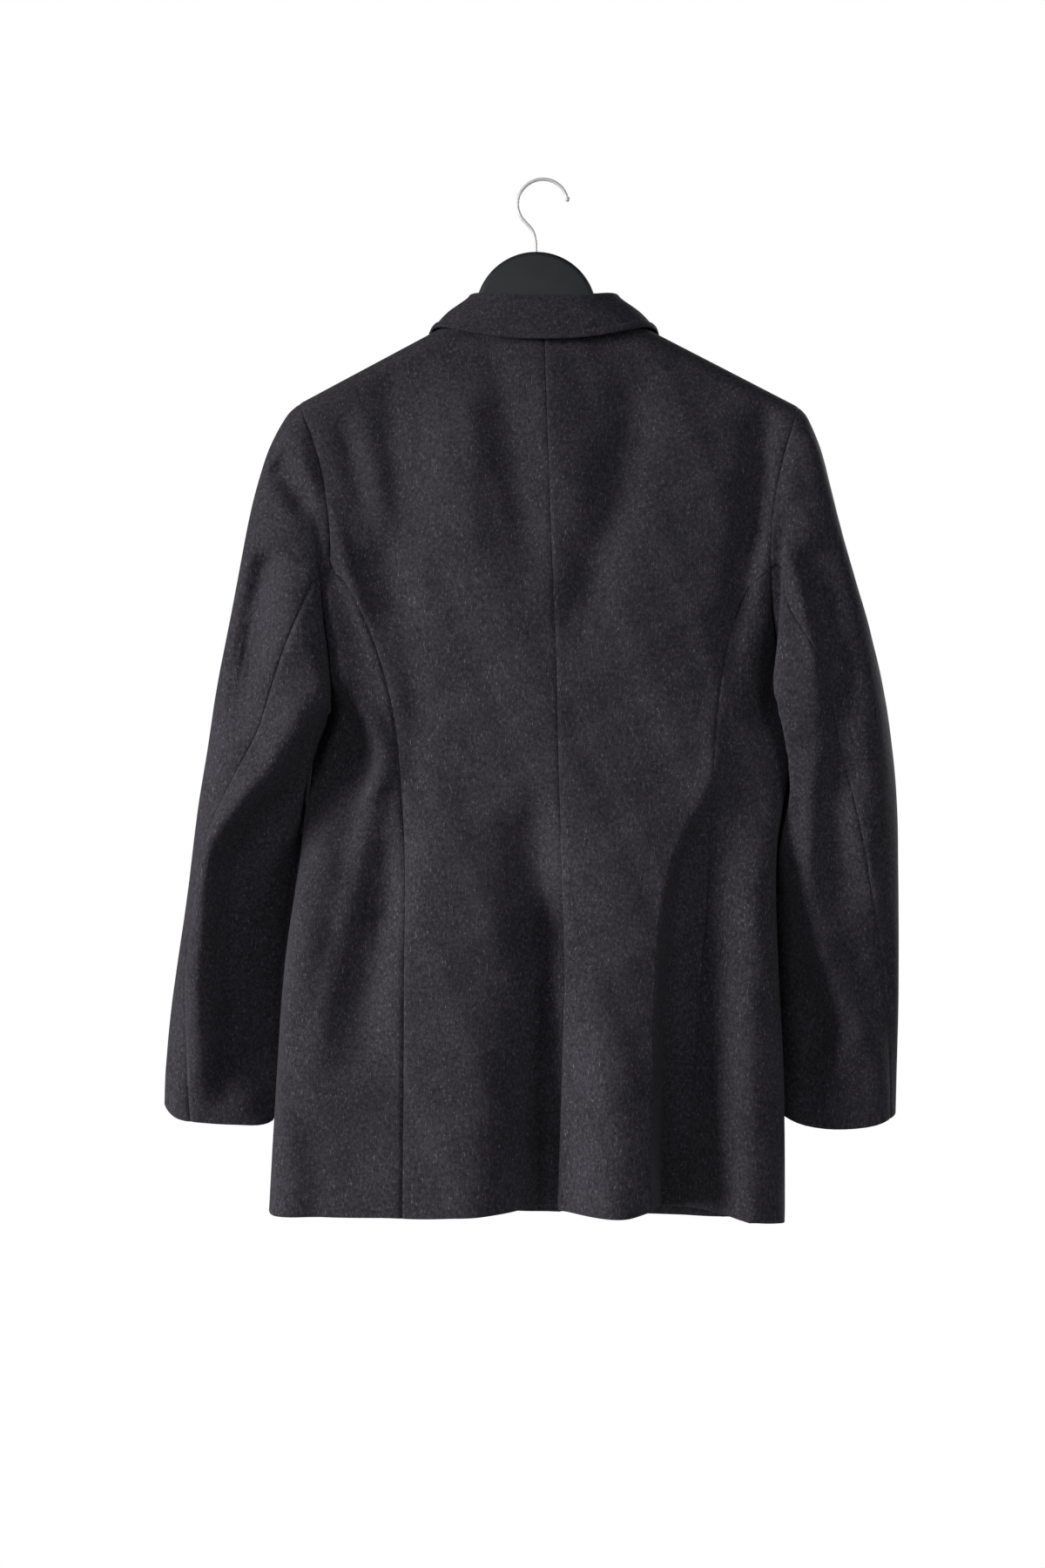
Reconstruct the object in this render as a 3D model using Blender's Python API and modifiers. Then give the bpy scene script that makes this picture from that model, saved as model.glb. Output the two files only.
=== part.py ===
"""A tailored wool blazer with a centre vent, hanging on a black hanger with a wire hook.

Frame: metres, +Z up, origin where the rail bears inside the hook. The back of the blazer faces -Y
and the wearer's left is at -X. Every cut piece is a closed wall of cloth, lofted through sections of
the garment; neighbouring pieces share the points of their seam and stand a narrow gap apart there.
"""

import math
from collections import namedtuple

import bmesh
import bpy
import numpy as np
from mathutils import Matrix, Vector

# ---------------------------------------------------------------- driving sizes
CLOTH = 0.0016          # one layer of wool melton
SEAM_GAP = 0.0003       # clear line between two pieces that are sewn together
LAYER = 0.0022          # from the face of a panel to the face of the cloth under it

HEM = -0.917            # nominal hem height of the back
VENT_TOP = -0.610       # the centre vent opens below this height
BREAK = -0.417          # the lapels turn back above this height
BLADE = -0.350          # the side seams meet the armholes at this height
UNDERARM = -0.425       # lowest point of the armholes

SHOULDER = {-1: (-0.217, -0.200), 1: (0.230, -0.203)}   # armhole end of each shoulder seam (x, z)
NECK = {-1: (-0.075, -0.124), 1: (0.079, -0.125)}       # neck end of each shoulder seam (x, z)
UNDERARM_X = {-1: -0.200, 1: 0.211}
ARMHOLE_BOW = {-1: 0.021, 1: -0.018}                    # how far the armhole bows towards the spine
NECK_CENTRE = 0.002
NECK_DROP = 0.007       # the back neckline hangs this far below the neck points
RIDGE_RADIUS = 0.018    # round of the shoulder over the hanger
FILL_DEPTH = 0.130      # height over which the body swells out below the shoulders
FRONT_OVERLAP = 0.018   # each front passes the centre front by this much
EDGE_FLATNESS = 0.6     # how round the body is in plan, from 0, a box, to 1, an ellipse

Row = namedtuple("Row", "z left right back front")
BODY = [                # half of the body seen from above: side edges and depth to each side
    Row(-0.120, -0.262, 0.274, 0.052, 0.050),
    Row(-0.200, -0.266, 0.280, 0.060, 0.056),
    Row(-0.300, -0.250, 0.266, 0.064, 0.064),
    Row(-0.350, -0.226, 0.240, 0.064, 0.066),
    Row(-0.425, -0.200, 0.211, 0.060, 0.066),
    Row(-0.520, -0.205, 0.221, 0.053, 0.062),
    Row(-0.600, -0.215, 0.210, 0.054, 0.064),
    Row(-0.700, -0.229, 0.211, 0.058, 0.070),
    Row(-0.800, -0.236, 0.216, 0.061, 0.076),
    Row(-0.960, -0.245, 0.217, 0.064, 0.082),
]
Seam = namedtuple("Seam", "z left centre right")
BACK_SEAMS = [          # side-back seams and the centre back seam
    Seam(-0.130, -0.120, 0.002, 0.120),
    Seam(-0.240, -0.150, 0.005, 0.160),
    Seam(-0.350, -0.184, 0.009, 0.202),
    Seam(-0.362, -0.174, 0.010, 0.187),
    Seam(-0.380, -0.163, 0.010, 0.176),
    Seam(-0.417, -0.147, 0.012, 0.164),
    Seam(-0.462, -0.134, 0.013, 0.156),
    Seam(-0.510, -0.126, 0.014, 0.152),
    Seam(-0.610, -0.121, 0.017, 0.148),
    Seam(-0.700, -0.121, 0.020, 0.142),
    Seam(-0.780, -0.121, 0.018, 0.136),
    Seam(-0.960, -0.122, 0.013, 0.126),
]
Front = namedtuple("Front", "z left right")
FRONT_SEAMS = [         # seams between the side bodies and the fronts
    Front(-0.350, -0.184, 0.202),
    Front(-0.380, -0.176, 0.190),
    Front(-0.417, -0.169, 0.181),
    Front(-0.510, -0.158, 0.168),
    Front(-0.620, -0.158, 0.164),
    Front(-0.960, -0.168, 0.168),
]
Hem = namedtuple("Hem", "turn z")
HEM_LINE = [            # height of the hem round the body, in degrees from the centre back
    Hem(-180, -0.934),
    Hem(-130, -0.928),
    Hem(-90, -0.918),
    Hem(-20, -0.917),
    Hem(3, -0.913),
    Hem(22, -0.916),
    Hem(32, -0.909),
    Hem(45, -0.914),
    Hem(60, -0.925),
    Hem(90, -0.930),
    Hem(130, -0.936),
    Hem(180, -0.934),
]
LEVELS = (-0.874, -0.830, -0.786, -0.742, -0.698, -0.654, VENT_TOP,
          -0.560, -0.510, -0.462, BREAK, -0.380, BLADE)
VENT_ROWS = LEVELS.index(VENT_TOP) + 1
RISE = (0.22, 0.43, 0.62, 0.78, 0.895, 0.965, 0.992, 1.0)   # rows from the blades up to the top edges

Fold = namedtuple("Fold", "name top_x top_z low_x low_z width depth")
BACK_FOLDS = [          # soft ridges (+) and troughs (-), growing from their top down to the hem
    Fold("vent hollow, left", 0.004, -0.540, -0.002, HEM, 0.034, -0.030),
    Fold("vent hollow, right", 0.018, -0.590, 0.016, HEM, 0.022, -0.008),
    Fold("left skirt swell", -0.066, -0.600, -0.062, HEM, 0.050, 0.006),
    Fold("right skirt swell", 0.066, -0.600, 0.066, HEM, 0.030, 0.008),
]
TUCK_EDGE = ((0.112, -0.520), (0.097, HEM))             # crest line (x, z) of the deep right pleat
TUCK_DEPTH = 0.070
TUCK_TURN = 0.012       # width over which the cloth turns in behind the crest
TUCK_BACK = 0.085       # width over which it comes out again
HEM_COLUMNS = (0, 0.18, 0.36, 0.54, 0.68, 0.76, 0.81, 0.86, 0.93, 1)   # share of the right back

Ring = namedtuple("Ring", "outer_x outer_z inner_x inner_z mid_y back front seam bow")
SLEEVES = {             # seam: degrees from the outer edge to the back seam; bow: towards the body
    -1: [               # left sleeve, from the sleeve head to the cuff
        Ring(-0.228, -0.211, -0.209, -0.431, 0.000, 0.044, 0.044, 104, 0.022),
        Ring(-0.243, -0.238, -0.196, -0.446, 0.001, 0.050, 0.049, 102, 0.018),
        Ring(-0.253, -0.267, -0.187, -0.463, 0.002, 0.053, 0.050, 100, 0.011),
        Ring(-0.262, -0.303, -0.185, -0.482, 0.003, 0.054, 0.050, 98, 0.005),
        Ring(-0.272, -0.355, -0.188, -0.508, 0.006, 0.053, 0.049, 95, 0.000),
        Ring(-0.281, -0.401, -0.193, -0.532, 0.011, 0.051, 0.047, 84, 0.000),
        Ring(-0.291, -0.451, -0.199, -0.562, 0.017, 0.048, 0.044, 76, 0.000),
        Ring(-0.300, -0.511, -0.207, -0.596, 0.023, 0.045, 0.041, 65, 0.000),
        Ring(-0.308, -0.563, -0.213, -0.630, 0.028, 0.042, 0.038, 49, 0.000),
        Ring(-0.316, -0.629, -0.219, -0.675, 0.033, 0.038, 0.034, 36, 0.000),
        Ring(-0.327, -0.699, -0.223, -0.724, 0.037, 0.034, 0.031, 36, 0.000),
        Ring(-0.335, -0.748, -0.226, -0.765, 0.039, 0.032, 0.029, 46, 0.000),
        Ring(-0.341, -0.799, -0.228, -0.808, 0.041, 0.030, 0.027, 53, 0.000),
        Ring(-0.343, -0.842, -0.230, -0.847, 0.042, 0.030, 0.026, 58, 0.000),
    ],
    1: [                # right sleeve
        Ring(0.238, -0.213, 0.220, -0.431, 0.000, 0.044, 0.044, 104, 0.018),
        Ring(0.249, -0.240, 0.209, -0.446, 0.001, 0.050, 0.049, 102, 0.014),
        Ring(0.257, -0.270, 0.202, -0.463, 0.002, 0.053, 0.050, 99, 0.008),
        Ring(0.266, -0.306, 0.200, -0.482, 0.003, 0.054, 0.050, 94, 0.003),
        Ring(0.280, -0.356, 0.202, -0.508, 0.006, 0.053, 0.049, 88, 0.000),
        Ring(0.294, -0.402, 0.205, -0.532, 0.011, 0.051, 0.047, 86, 0.000),
        Ring(0.307, -0.452, 0.207, -0.562, 0.017, 0.048, 0.044, 84, 0.000),
        Ring(0.317, -0.511, 0.207, -0.596, 0.023, 0.045, 0.041, 77, 0.000),
        Ring(0.322, -0.563, 0.206, -0.630, 0.028, 0.042, 0.038, 69, 0.000),
        Ring(0.324, -0.629, 0.205, -0.675, 0.033, 0.038, 0.034, 58, 0.000),
        Ring(0.325, -0.699, 0.206, -0.724, 0.037, 0.034, 0.031, 46, 0.000),
        Ring(0.325, -0.748, 0.208, -0.765, 0.039, 0.032, 0.029, 38, 0.000),
        Ring(0.324, -0.799, 0.210, -0.808, 0.041, 0.030, 0.027, 32, 0.000),
        Ring(0.323, -0.843, 0.211, -0.847, 0.042, 0.030, 0.026, 29, 0.000),
    ],
}
SLEEVE_CLEAR = 0.0045   # the sleeves hang at least this far off the body

Station = namedtuple("Station", "roll_x roll_y roll_z edge_x edge_drop edge_side spring")
COLLAR = [              # half of the collar from the centre back to its front end; x from the centre
    Station(0.000, -0.0310, -0.1080, 0.000, 0.0625, -1, 0.006),
    Station(0.016, -0.0308, -0.1078, 0.020, 0.0525, -1, 0.006),
    Station(0.032, -0.0295, -0.1070, 0.040, 0.0420, -1, 0.006),
    Station(0.046, -0.0245, -0.1055, 0.058, 0.0315, -1, 0.006),
    Station(0.058, -0.0170, -0.1035, 0.074, 0.0205, -1, 0.005),
    Station(0.0645, -0.0090, -0.1030, 0.087, 0.0105, -1, 0.004),
    Station(0.067, -0.0020, -0.1045, 0.095, 0.0035, -1, 0.004),
    Station(0.0685, 0.0050, -0.1085, 0.099, 0.0000, 1, 0.004),
    Station(0.069, 0.0120, -0.1145, 0.102, 0.0035, 1, 0.004),
    Station(0.068, 0.0190, -0.1220, 0.103, 0.0100, 1, 0.004),
    Station(0.067, 0.0260, -0.1320, 0.102, 0.0190, 1, 0.004),
    Station(0.065, 0.0330, -0.1450, 0.100, 0.0300, 1, 0.004),
    Station(0.062, 0.0380, -0.1570, 0.097, 0.0420, 1, 0.004),
]
ROLL_HALF = 0.0032      # half the width of the fold at the top of the collar
GORGE = -0.169          # height where the lapels meet the collar on the roll line
Lapel = namedtuple("Lapel", "z width drop")
LAPEL_ROWS = [          # lapel width and how far its outer edge lies below the roll line
    Lapel(BREAK, 0.006, 0.010),
    Lapel(-0.380, 0.020, 0.008),
    Lapel(BLADE, 0.034, 0.010),
    Lapel(-0.300, 0.052, 0.016),
    Lapel(-0.250, 0.066, 0.022),
    Lapel(-0.205, 0.076, 0.026),
    Lapel(GORGE, 0.068, 0.030),
]

BUTTON_HEIGHTS = (-0.440, -0.545, -0.650)
BUTTON_RADIUS = 0.0105
BUTTON_THICK = 0.0040

WIRE = 0.0015           # radius of the hook's wire
HOOK_X = 0.001          # the hook's arc is centred this far right of the stem's line
HOOK_RADIUS = 0.0225
HOOK_BALL = 0.0023
HOOK_FROM, HOOK_TO = 12, 214                             # degrees round the hook's arc
STEM = [(-0.0090, -0.0435), (-0.0066, -0.0490), (-0.0054, -0.0550), (-0.0050, -0.0640),
        (-0.0050, -0.0780)]
BORE_DEPTH = 0.0144
HANGER_THICK = 0.012
DOME_CENTRE = (-0.0045, -0.118)
DOME_RADIUS = 0.053
ARM_REACH = 0.200       # from the dome's centre to each arm's end
ARM_TURN = 0.086        # the arms level out here, just outside the neck
ARM_DEPTH = 0.026

COLOURS = {             # red, green, blue, roughness, metallic
    "wool": (0.028, 0.027, 0.032, 0.95, 0.0),
    "horn": (0.020, 0.019, 0.021, 0.40, 0.0),
    "hanger": (0.017, 0.019, 0.019, 0.55, 0.0),
    "chrome": (0.78, 0.78, 0.80, 0.22, 1.0),
}


# ---------------------------------------------------------------- small tools
def smooth(rows, column, at, key="z"):
    """Value of a table's column at a place along its key, on a smooth curve through the rows."""
    keys = [getattr(row, key) for row in rows]
    values = [getattr(row, column) for row in rows]
    if keys[0] > keys[-1]:
        keys.reverse()
        values.reverse()
    at = min(max(at, keys[0]), keys[-1])
    i = max(1, next((n for n, k in enumerate(keys) if k >= at), len(keys) - 1))
    span = keys[i] - keys[i - 1]
    share = (at - keys[i - 1]) / span

    def slope(n):
        low, high = max(n - 1, 0), min(n + 1, len(keys) - 1)
        return (values[high] - values[low]) / (keys[high] - keys[low])

    a, b = values[i - 1], values[i]
    m, n = slope(i - 1) * span, slope(i) * span
    s2, s3 = share * share, share ** 3
    return (2 * s3 - 3 * s2 + 1) * a + (s3 - 2 * s2 + share) * m + (3 * s2 - 2 * s3) * b + (s3 - s2) * n


def ease(share):
    """0 to 1 with soft ends."""
    share = min(max(share, 0.0), 1.0)
    return share * share * (3 - 2 * share)


def mix(a, b, share):
    return a + (b - a) * share


def patch(bottom, top, first, last):
    """Rows of plane points that fill the outline of four edges (a Coons patch)."""
    bottom, top, first, last = (np.array(edge, float) for edge in (bottom, top, first, last))
    u = np.linspace(0, 1, len(bottom))[None, :, None]
    v = np.linspace(0, 1, len(first))[:, None, None]
    across = (1 - v) * bottom[None] + v * top[None]
    along = (1 - u) * first[:, None] + u * last[:, None]
    corners = ((1 - v) * ((1 - u) * bottom[0] + u * bottom[-1])
               + v * ((1 - u) * top[0] + u * top[-1]))
    return across + along - corners


# ---------------------------------------------------------------- the body's form
def shoulder_line(x):
    """Height of the shoulder ridge at x, carried on as straight lines past its ends."""
    side = -1 if x < NECK_CENTRE else 1
    (x0, z0), (x1, z1) = NECK[side], SHOULDER[side]
    return z0 + (z1 - z0) * (x - x0) / (x1 - x0)


def fold_height(x, z):
    """How far the folds of the back lift the cloth at a place."""
    lift = 0.0
    for fold in BACK_FOLDS:
        down = (z - fold.top_z) / (fold.low_z - fold.top_z)
        if down > 0:
            off = (x - mix(fold.top_x, fold.low_x, down)) / fold.width
            lift += fold.depth * ease(down) * math.exp(-off * off)
    (x0, z0), (x1, z1) = TUCK_EDGE
    down = (z - z0) / (z1 - z0)
    if down > 0:
        off = x - mix(x0, x1, down)
        lift -= TUCK_DEPTH * down ** 1.7 * ease(off / TUCK_TURN) * (1 - ease((off - TUCK_TURN) / TUCK_BACK))
    return lift


def body_depth(x, z, side):
    """Distance of the cloth from the middle plane, for the back (-1) or the front (1)."""
    left, right = smooth(BODY, "left", z), smooth(BODY, "right", z)
    reach = 2 * (x - (left + right) / 2) / (right - left)
    plan = max(1 - reach * reach, 0.0) ** (EDGE_FLATNESS / 2)
    drop = max(shoulder_line(x) - z, 0.0)
    ridge = RIDGE_RADIUS * math.sqrt(1 - (1 - min(drop / RIDGE_RADIUS, 1)) ** 2)
    ridge *= mix(1, plan, ease(drop / FILL_DEPTH))
    full = smooth(BODY, "back" if side < 0 else "front", z) - RIDGE_RADIUS
    depth = ridge + full * plan * (1 - math.exp(-drop / FILL_DEPTH))
    return depth + (fold_height(x, z) * min(1, 3 * plan) if side < 0 else 0.0)


def on_body(x, z, side, out=0.0):
    """A point of the body's face, moved out by a distance."""
    return Vector((x, side * (body_depth(x, z, side) + out), z))


def at_turn(turn, z):
    """A point of the body's face at an angle round it, in degrees from the centre back."""
    left, right = smooth(BODY, "left", z), smooth(BODY, "right", z)
    x = (left + right) / 2 + (right - left) / 2 * math.sin(math.radians(turn))
    return on_body(x, z, -1 if abs(turn) <= 90 else 1)


def turn_of(x, z, side):
    left, right = smooth(BODY, "left", z), smooth(BODY, "right", z)
    reach = 2 * (x - (left + right) / 2) / (right - left)
    turn = math.degrees(math.asin(max(-1, min(1, reach))))
    return turn if side < 0 else math.copysign(180, turn) - turn


def hem_at(turn):
    return smooth(HEM_LINE, "z", turn, "turn")


def armhole_x(side, z):
    (x0, z0), x1 = SHOULDER[side], UNDERARM_X[side]
    share = (z - z0) / (UNDERARM - z0)
    return mix(x0, x1, share) + ARMHOLE_BOW[side] * 4 * share * (1 - share)


def levels_on(line, turn_side):
    """The lower rows of a seam given by its x at each height, from the hem up to the blades."""
    hem = hem_at(turn_of(line(HEM), HEM, turn_side))
    rows = [(line(hem), hem)]
    for z in LEVELS:
        z += (hem - HEM) * (z - BLADE) / (HEM - BLADE)
        rows.append((line(z), z))
    return rows


def rise_to(top, x_at):
    """The upper rows of an edge, from above the blades to its top."""
    return [(x_at(mix(BLADE, top, share)), mix(BLADE, top, share)) for share in RISE]


def shoulder_seam(side, pieces=6):
    """Points of the shoulder seam from the armhole to the neck."""
    (x0, z0), (x1, z1) = SHOULDER[side], NECK[side]
    return [(mix(x0, x1, i / pieces), mix(z0, z1, i / pieces)) for i in range(pieces + 1)]


def neckline(side, pieces=3):
    """Points of the back neckline from the neck point to the centre back."""
    x0, z0 = NECK[side]
    low = NECK[-1][1] - NECK_DROP
    return [(mix(x0, NECK_CENTRE, i / pieces), low + (z0 - low) * (1 - i / pieces) ** 2)
            for i in range(1, pieces + 1)]


def roll_line(side, z):
    """x of a front's inner edge: straight up to the break, then along the roll line to the neck."""
    x0, z0 = -side * FRONT_OVERLAP, BREAK
    x1, z1 = NECK[side]
    return x0 if z <= z0 else mix(x0, x1, (z - z0) / (z1 - z0))


# ---------------------------------------------------------------- grids of the body pieces
def back_grid(side):
    seam = "left" if side < 0 else "right"
    outer = levels_on(lambda z: smooth(BACK_SEAMS, seam, z), -1)
    centre = levels_on(lambda z: smooth(BACK_SEAMS, "centre", z), -1)
    top = shoulder_seam(side) + neckline(side)
    count = len(top)
    shares = [1 - s for s in reversed(HEM_COLUMNS)] if side > 0 else list(np.linspace(0, 1, count))
    hem = []
    for share in shares:
        x = mix(outer[0][0], centre[0][0], share)
        hem.append((x, hem_at(turn_of(x, HEM, -1))))
    hem[0], hem[-1] = outer[0], centre[0]
    blade = [(mix(outer[-1][0], centre[-1][0], s), BLADE) for s in np.linspace(0, 1, count)]
    upper_outer = [outer[-1]] + rise_to(SHOULDER[side][1], lambda z: armhole_x(side, z))
    upper_centre = [centre[-1]] + rise_to(top[-1][1], lambda z: smooth(BACK_SEAMS, "centre", z))
    upper_centre[-1] = top[-1]
    plane = np.concatenate([patch(hem, blade, outer, centre)[:-1],
                            patch(blade, top, upper_outer, upper_centre)])
    return [[on_body(x, z, -1) for x, z in row] for row in plane]


def side_grid(side, pieces=6):
    name = "left" if side < 0 else "right"
    back = levels_on(lambda z: smooth(BACK_SEAMS, name, z), -1)
    front = levels_on(lambda z: smooth(FRONT_SEAMS, name, z), 1)
    back = [(turn_of(x, z, -1), z) for x, z in back]
    front = [(turn_of(x, z, 1), z) for x, z in front]
    hem, top = [], []
    start = math.degrees(math.acos(1 - 2 * (BLADE - SHOULDER[side][1]) / (UNDERARM - SHOULDER[side][1])))
    for i in range(pieces + 1):
        turn = mix(back[0][0], front[0][0], i / pieces)
        hem.append((turn, hem_at(turn)))
        around = mix(start, 360 - start, i / pieces)
        share = (1 - math.cos(math.radians(around))) / 2
        z = mix(SHOULDER[side][1], UNDERARM, share)
        top.append((turn_of(armhole_x(side, z) if 2 * i != pieces else UNDERARM_X[side], z,
                            -1 if 2 * i <= pieces else 1), z))
    hem[0], hem[-1], top[0], top[-1] = back[0], front[0], back[-1], front[-1]
    return [[at_turn(turn, z) for turn, z in row] for row in patch(hem, top, back, front)]


def front_grid(side):
    name = "left" if side < 0 else "right"
    outer = levels_on(lambda z: smooth(FRONT_SEAMS, name, z), 1)
    inner = levels_on(lambda z: roll_line(side, z), 1)
    top = shoulder_seam(side)
    hem = []
    for share in np.linspace(0, 1, len(top)):
        x = mix(outer[0][0], inner[0][0], share)
        hem.append((x, hem_at(turn_of(x, HEM, 1))))
    hem[0], hem[-1] = outer[0], inner[0]
    blade = [(mix(outer[-1][0], inner[-1][0], s), BLADE) for s in np.linspace(0, 1, len(top))]
    upper_outer = [outer[-1]] + rise_to(SHOULDER[side][1], lambda z: armhole_x(side, z))
    upper_inner = [inner[-1]] + rise_to(top[-1][1], lambda z: roll_line(side, z))
    plane = np.concatenate([patch(hem, blade, outer, inner)[:-1],
                            patch(blade, top, upper_outer, upper_inner)])
    return [[on_body(x, z, 1, front_sink(side, x)) for x, z in row] for row in plane]


def front_sink(side, x):
    """The left front passes under the right one at the centre front."""
    return -1.6 * LAYER * ease((x + 0.042) / 0.020) if side < 0 else 0.0


def lapel_grid(side, pieces=4):
    """The lapel lies on its front, from the roll line outwards."""
    rows = []
    for row in LAPEL_ROWS if side > 0 else LAPEL_ROWS[2:]:
        line = []
        for i in range(pieces + 1):
            share = i / pieces
            x = roll_line(side, row.z) + side * row.width * share
            z = row.z - row.drop * share
            lift = LAYER + 0.0030 * math.sin(math.pi * min(share * 1.1, 1))
            line.append(on_body(x, z, 1, lift))
        rows.append(line)
    return rows


# ---------------------------------------------------------------- sleeves
def clear_of_body(point, gap):
    """Moves a point of a sleeve straight away from the body's axis until it is clear of the body."""
    z = max(min(point.z, UNDERARM), -0.95)
    left, right = smooth(BODY, "left", z), smooth(BODY, "right", z)
    middle, half = (left + right) / 2, (right - left) / 2 + gap
    depth = smooth(BODY, "back" if point.y < 0 else "front", z) + gap
    across, through = abs(point.x - middle) / half, abs(point.y) / depth
    power = 2 / EDGE_FLATNESS
    size = (across ** 2 + through ** power) ** 0.5 if across < 1 else 1.0
    if size >= 1 or size < 0.3:
        return point
    grow = 1.0
    for _ in range(30):
        if (across * grow) ** 2 + (through * grow) ** power >= 1:
            break
        grow *= 1.004
    return Vector((middle + (point.x - middle) * grow, point.y * grow, point.z))


def sleeve_ring(side, ring, head, under):
    """Points round one ring of a sleeve: over the top from seam to seam, then round underneath."""
    outer = Vector((ring.outer_x, ring.mid_y, ring.outer_z))
    inner = Vector((ring.inner_x, ring.mid_y, ring.inner_z))
    middle, half = (outer + inner) / 2, (outer - inner) / 2
    seam = math.radians(ring.seam)
    angles = [-mix(0, seam, i / head) for i in range(head, 0, -1)]
    angles += [mix(0, seam, i / head) for i in range(head + 1)]
    angles += [mix(seam, 2 * math.pi - seam, i / under) for i in range(1, under)]
    points = []
    for angle in angles:
        depth = ring.back if angle < 0 or angle > math.pi else ring.front
        lift = math.copysign(abs(math.sin(angle)) ** 0.85, math.sin(angle)) * depth
        bow = -side * ring.bow * math.sin(angle) ** 2
        points.append(middle + half * math.cos(angle) + Vector((bow, lift, 0)))
    return points


def sleeve_rings(side, armhole, head, under):
    """All rings of a sleeve from the armhole down to the cuff."""
    rings = [armhole]
    for number, ring in enumerate(SLEEVES[side]):
        gap = SLEEVE_CLEAR * min(1, 0.5 + 0.25 * number)
        rings.append([clear_of_body(p, gap) for p in sleeve_ring(side, ring, head, under)])
    return rings


# ---------------------------------------------------------------- collar
def collar_grid():
    """Rows across the fold of the collar, from its left end round the back of the neck to its right."""
    halves = [(-1, s) for s in reversed(COLLAR[1:])] + [(1, s) for s in COLLAR]
    rolls = [Vector((NECK_CENTRE + side * s.roll_x, s.roll_y, s.roll_z)) for side, s in halves]
    rows = []
    for i, (side, s) in enumerate(halves):
        before, after = rolls[max(i - 1, 0)], rolls[min(i + 1, len(rolls) - 1)]
        run = after - before
        away = Vector((run.y, -run.x, 0)).normalized()
        roll = rolls[i]
        seam = collar_seam(side, s)
        edge_x = NECK_CENTRE + side * s.edge_x
        edge_z = shoulder_line(edge_x) - s.edge_drop
        edge = on_body(edge_x, edge_z, s.edge_side)
        lift = Vector((0.3 * side, s.edge_side * min(1, s.edge_drop / 0.015), 0.9)).normalized()
        edge += lift * s.spring
        inner = roll - away * ROLL_HALF - Vector((0, 0, ROLL_HALF))
        outer = roll + away * ROLL_HALF - Vector((0, 0, ROLL_HALF))
        rows.append([seam, seam.lerp(inner, 0.5), inner, roll, outer,
                     outer.lerp(edge, 0.5) + away * 0.001 + Vector((0, 0, 0.0015)), edge])
    return rows


def collar_seam(side, station):
    """Where the collar's stand meets the neckline, below its roll."""
    if station.edge_side < 0 or station.edge_drop == 0:
        reach = station.roll_x / COLLAR[7].roll_x
        x0, z0 = NECK[side]
        low = NECK[-1][1] - NECK_DROP
        x = mix(NECK_CENTRE, x0, reach)
        z = low + (z0 - low) * reach ** 2
        return on_body(x, z, -1) + Vector((0, 0, 0.0008))
    z = mix(NECK[side][1], GORGE + 0.004, (COLLAR[7].roll_z - station.roll_z)
            / (COLLAR[7].roll_z - COLLAR[-1].roll_z))
    x = roll_line(side, z)
    return on_body(x, z, 1) + Vector((-side * 0.0008, 0, 0.0008))


# ---------------------------------------------------------------- walls of cloth
def face_normals(grid):
    """Area vectors of a grid's cells, and for each the points that it touches."""
    for j in range(len(grid) - 1):
        for i in range(len(grid[0]) - 1):
            a, b, c, d = grid[j][i], grid[j][i + 1], grid[j + 1][i + 1], grid[j + 1][i]
            yield (c - a).cross(d - b), (a, b, c, d)


def key_of(point):
    return tuple(round(value * 1e5) for value in point)


def shared_normals(grids, facing):
    """Outward normals at every point, the same for all pieces that meet there."""
    total = {}
    for name, grid in grids.items():
        for area, points in face_normals(grid):
            for point in points:
                key = key_of(point)
                total[key] = total.get(key, Vector()) + area * facing[name]
    return {key: area.normalized() for key, area in total.items()}


def inset(grid):
    """Draws a piece's border in by half the seam gap, along its own cloth."""
    rows, columns = len(grid), len(grid[0])
    moved = [[point.copy() for point in row] for row in grid]
    for j in range(rows):
        for i in range(columns):
            for edge, inward in (((0, None), (1, 0)), ((rows - 1, None), (-1, 0)),
                                 ((None, 0), (0, 1)), ((None, columns - 1), (0, -1))):
                if edge[0] in (j, None) and edge[1] in (i, None):
                    next_point = grid[j + inward[0]][i + inward[1]]
                    moved[j][i] += (next_point - grid[j][i]).normalized() * SEAM_GAP / 2
    return moved


def wall(name, grid, normals, facing):
    """A closed wall of cloth: the face of a grid, its lining side and the rim between them."""
    rows, columns = len(grid), len(grid[0])
    face = inset(grid)
    bm = bmesh.new()
    outer = [[bm.verts.new(point) for point in row] for row in face]
    inner = [[bm.verts.new(face[j][i] - normals[key_of(grid[j][i])] * CLOTH) for i in range(columns)]
             for j in range(rows)]
    for j in range(rows - 1):
        for i in range(columns - 1):
            bm.faces.new((outer[j][i], outer[j][i + 1], outer[j + 1][i + 1], outer[j + 1][i]))
            bm.faces.new((inner[j][i], inner[j + 1][i], inner[j + 1][i + 1], inner[j][i + 1]))
    border = [(0, i) for i in range(columns - 1)] + [(j, columns - 1) for j in range(rows - 1)]
    border += [(rows - 1, i) for i in range(columns - 1, 0, -1)] + [(j, 0) for j in range(rows - 1, 0, -1)]
    for (j, i), (m, n) in zip(border, border[1:] + border[:1]):
        bm.faces.new((outer[m][n], outer[j][i], inner[j][i], inner[m][n]))
    if facing < 0:
        bmesh.ops.reverse_faces(bm, faces=bm.faces)
    bmesh.ops.triangulate(bm, faces=bm.faces)
    mesh = bpy.data.meshes.new(name)
    bm.to_mesh(mesh)
    bm.free()
    return add(name, mesh, "wool")


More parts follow.
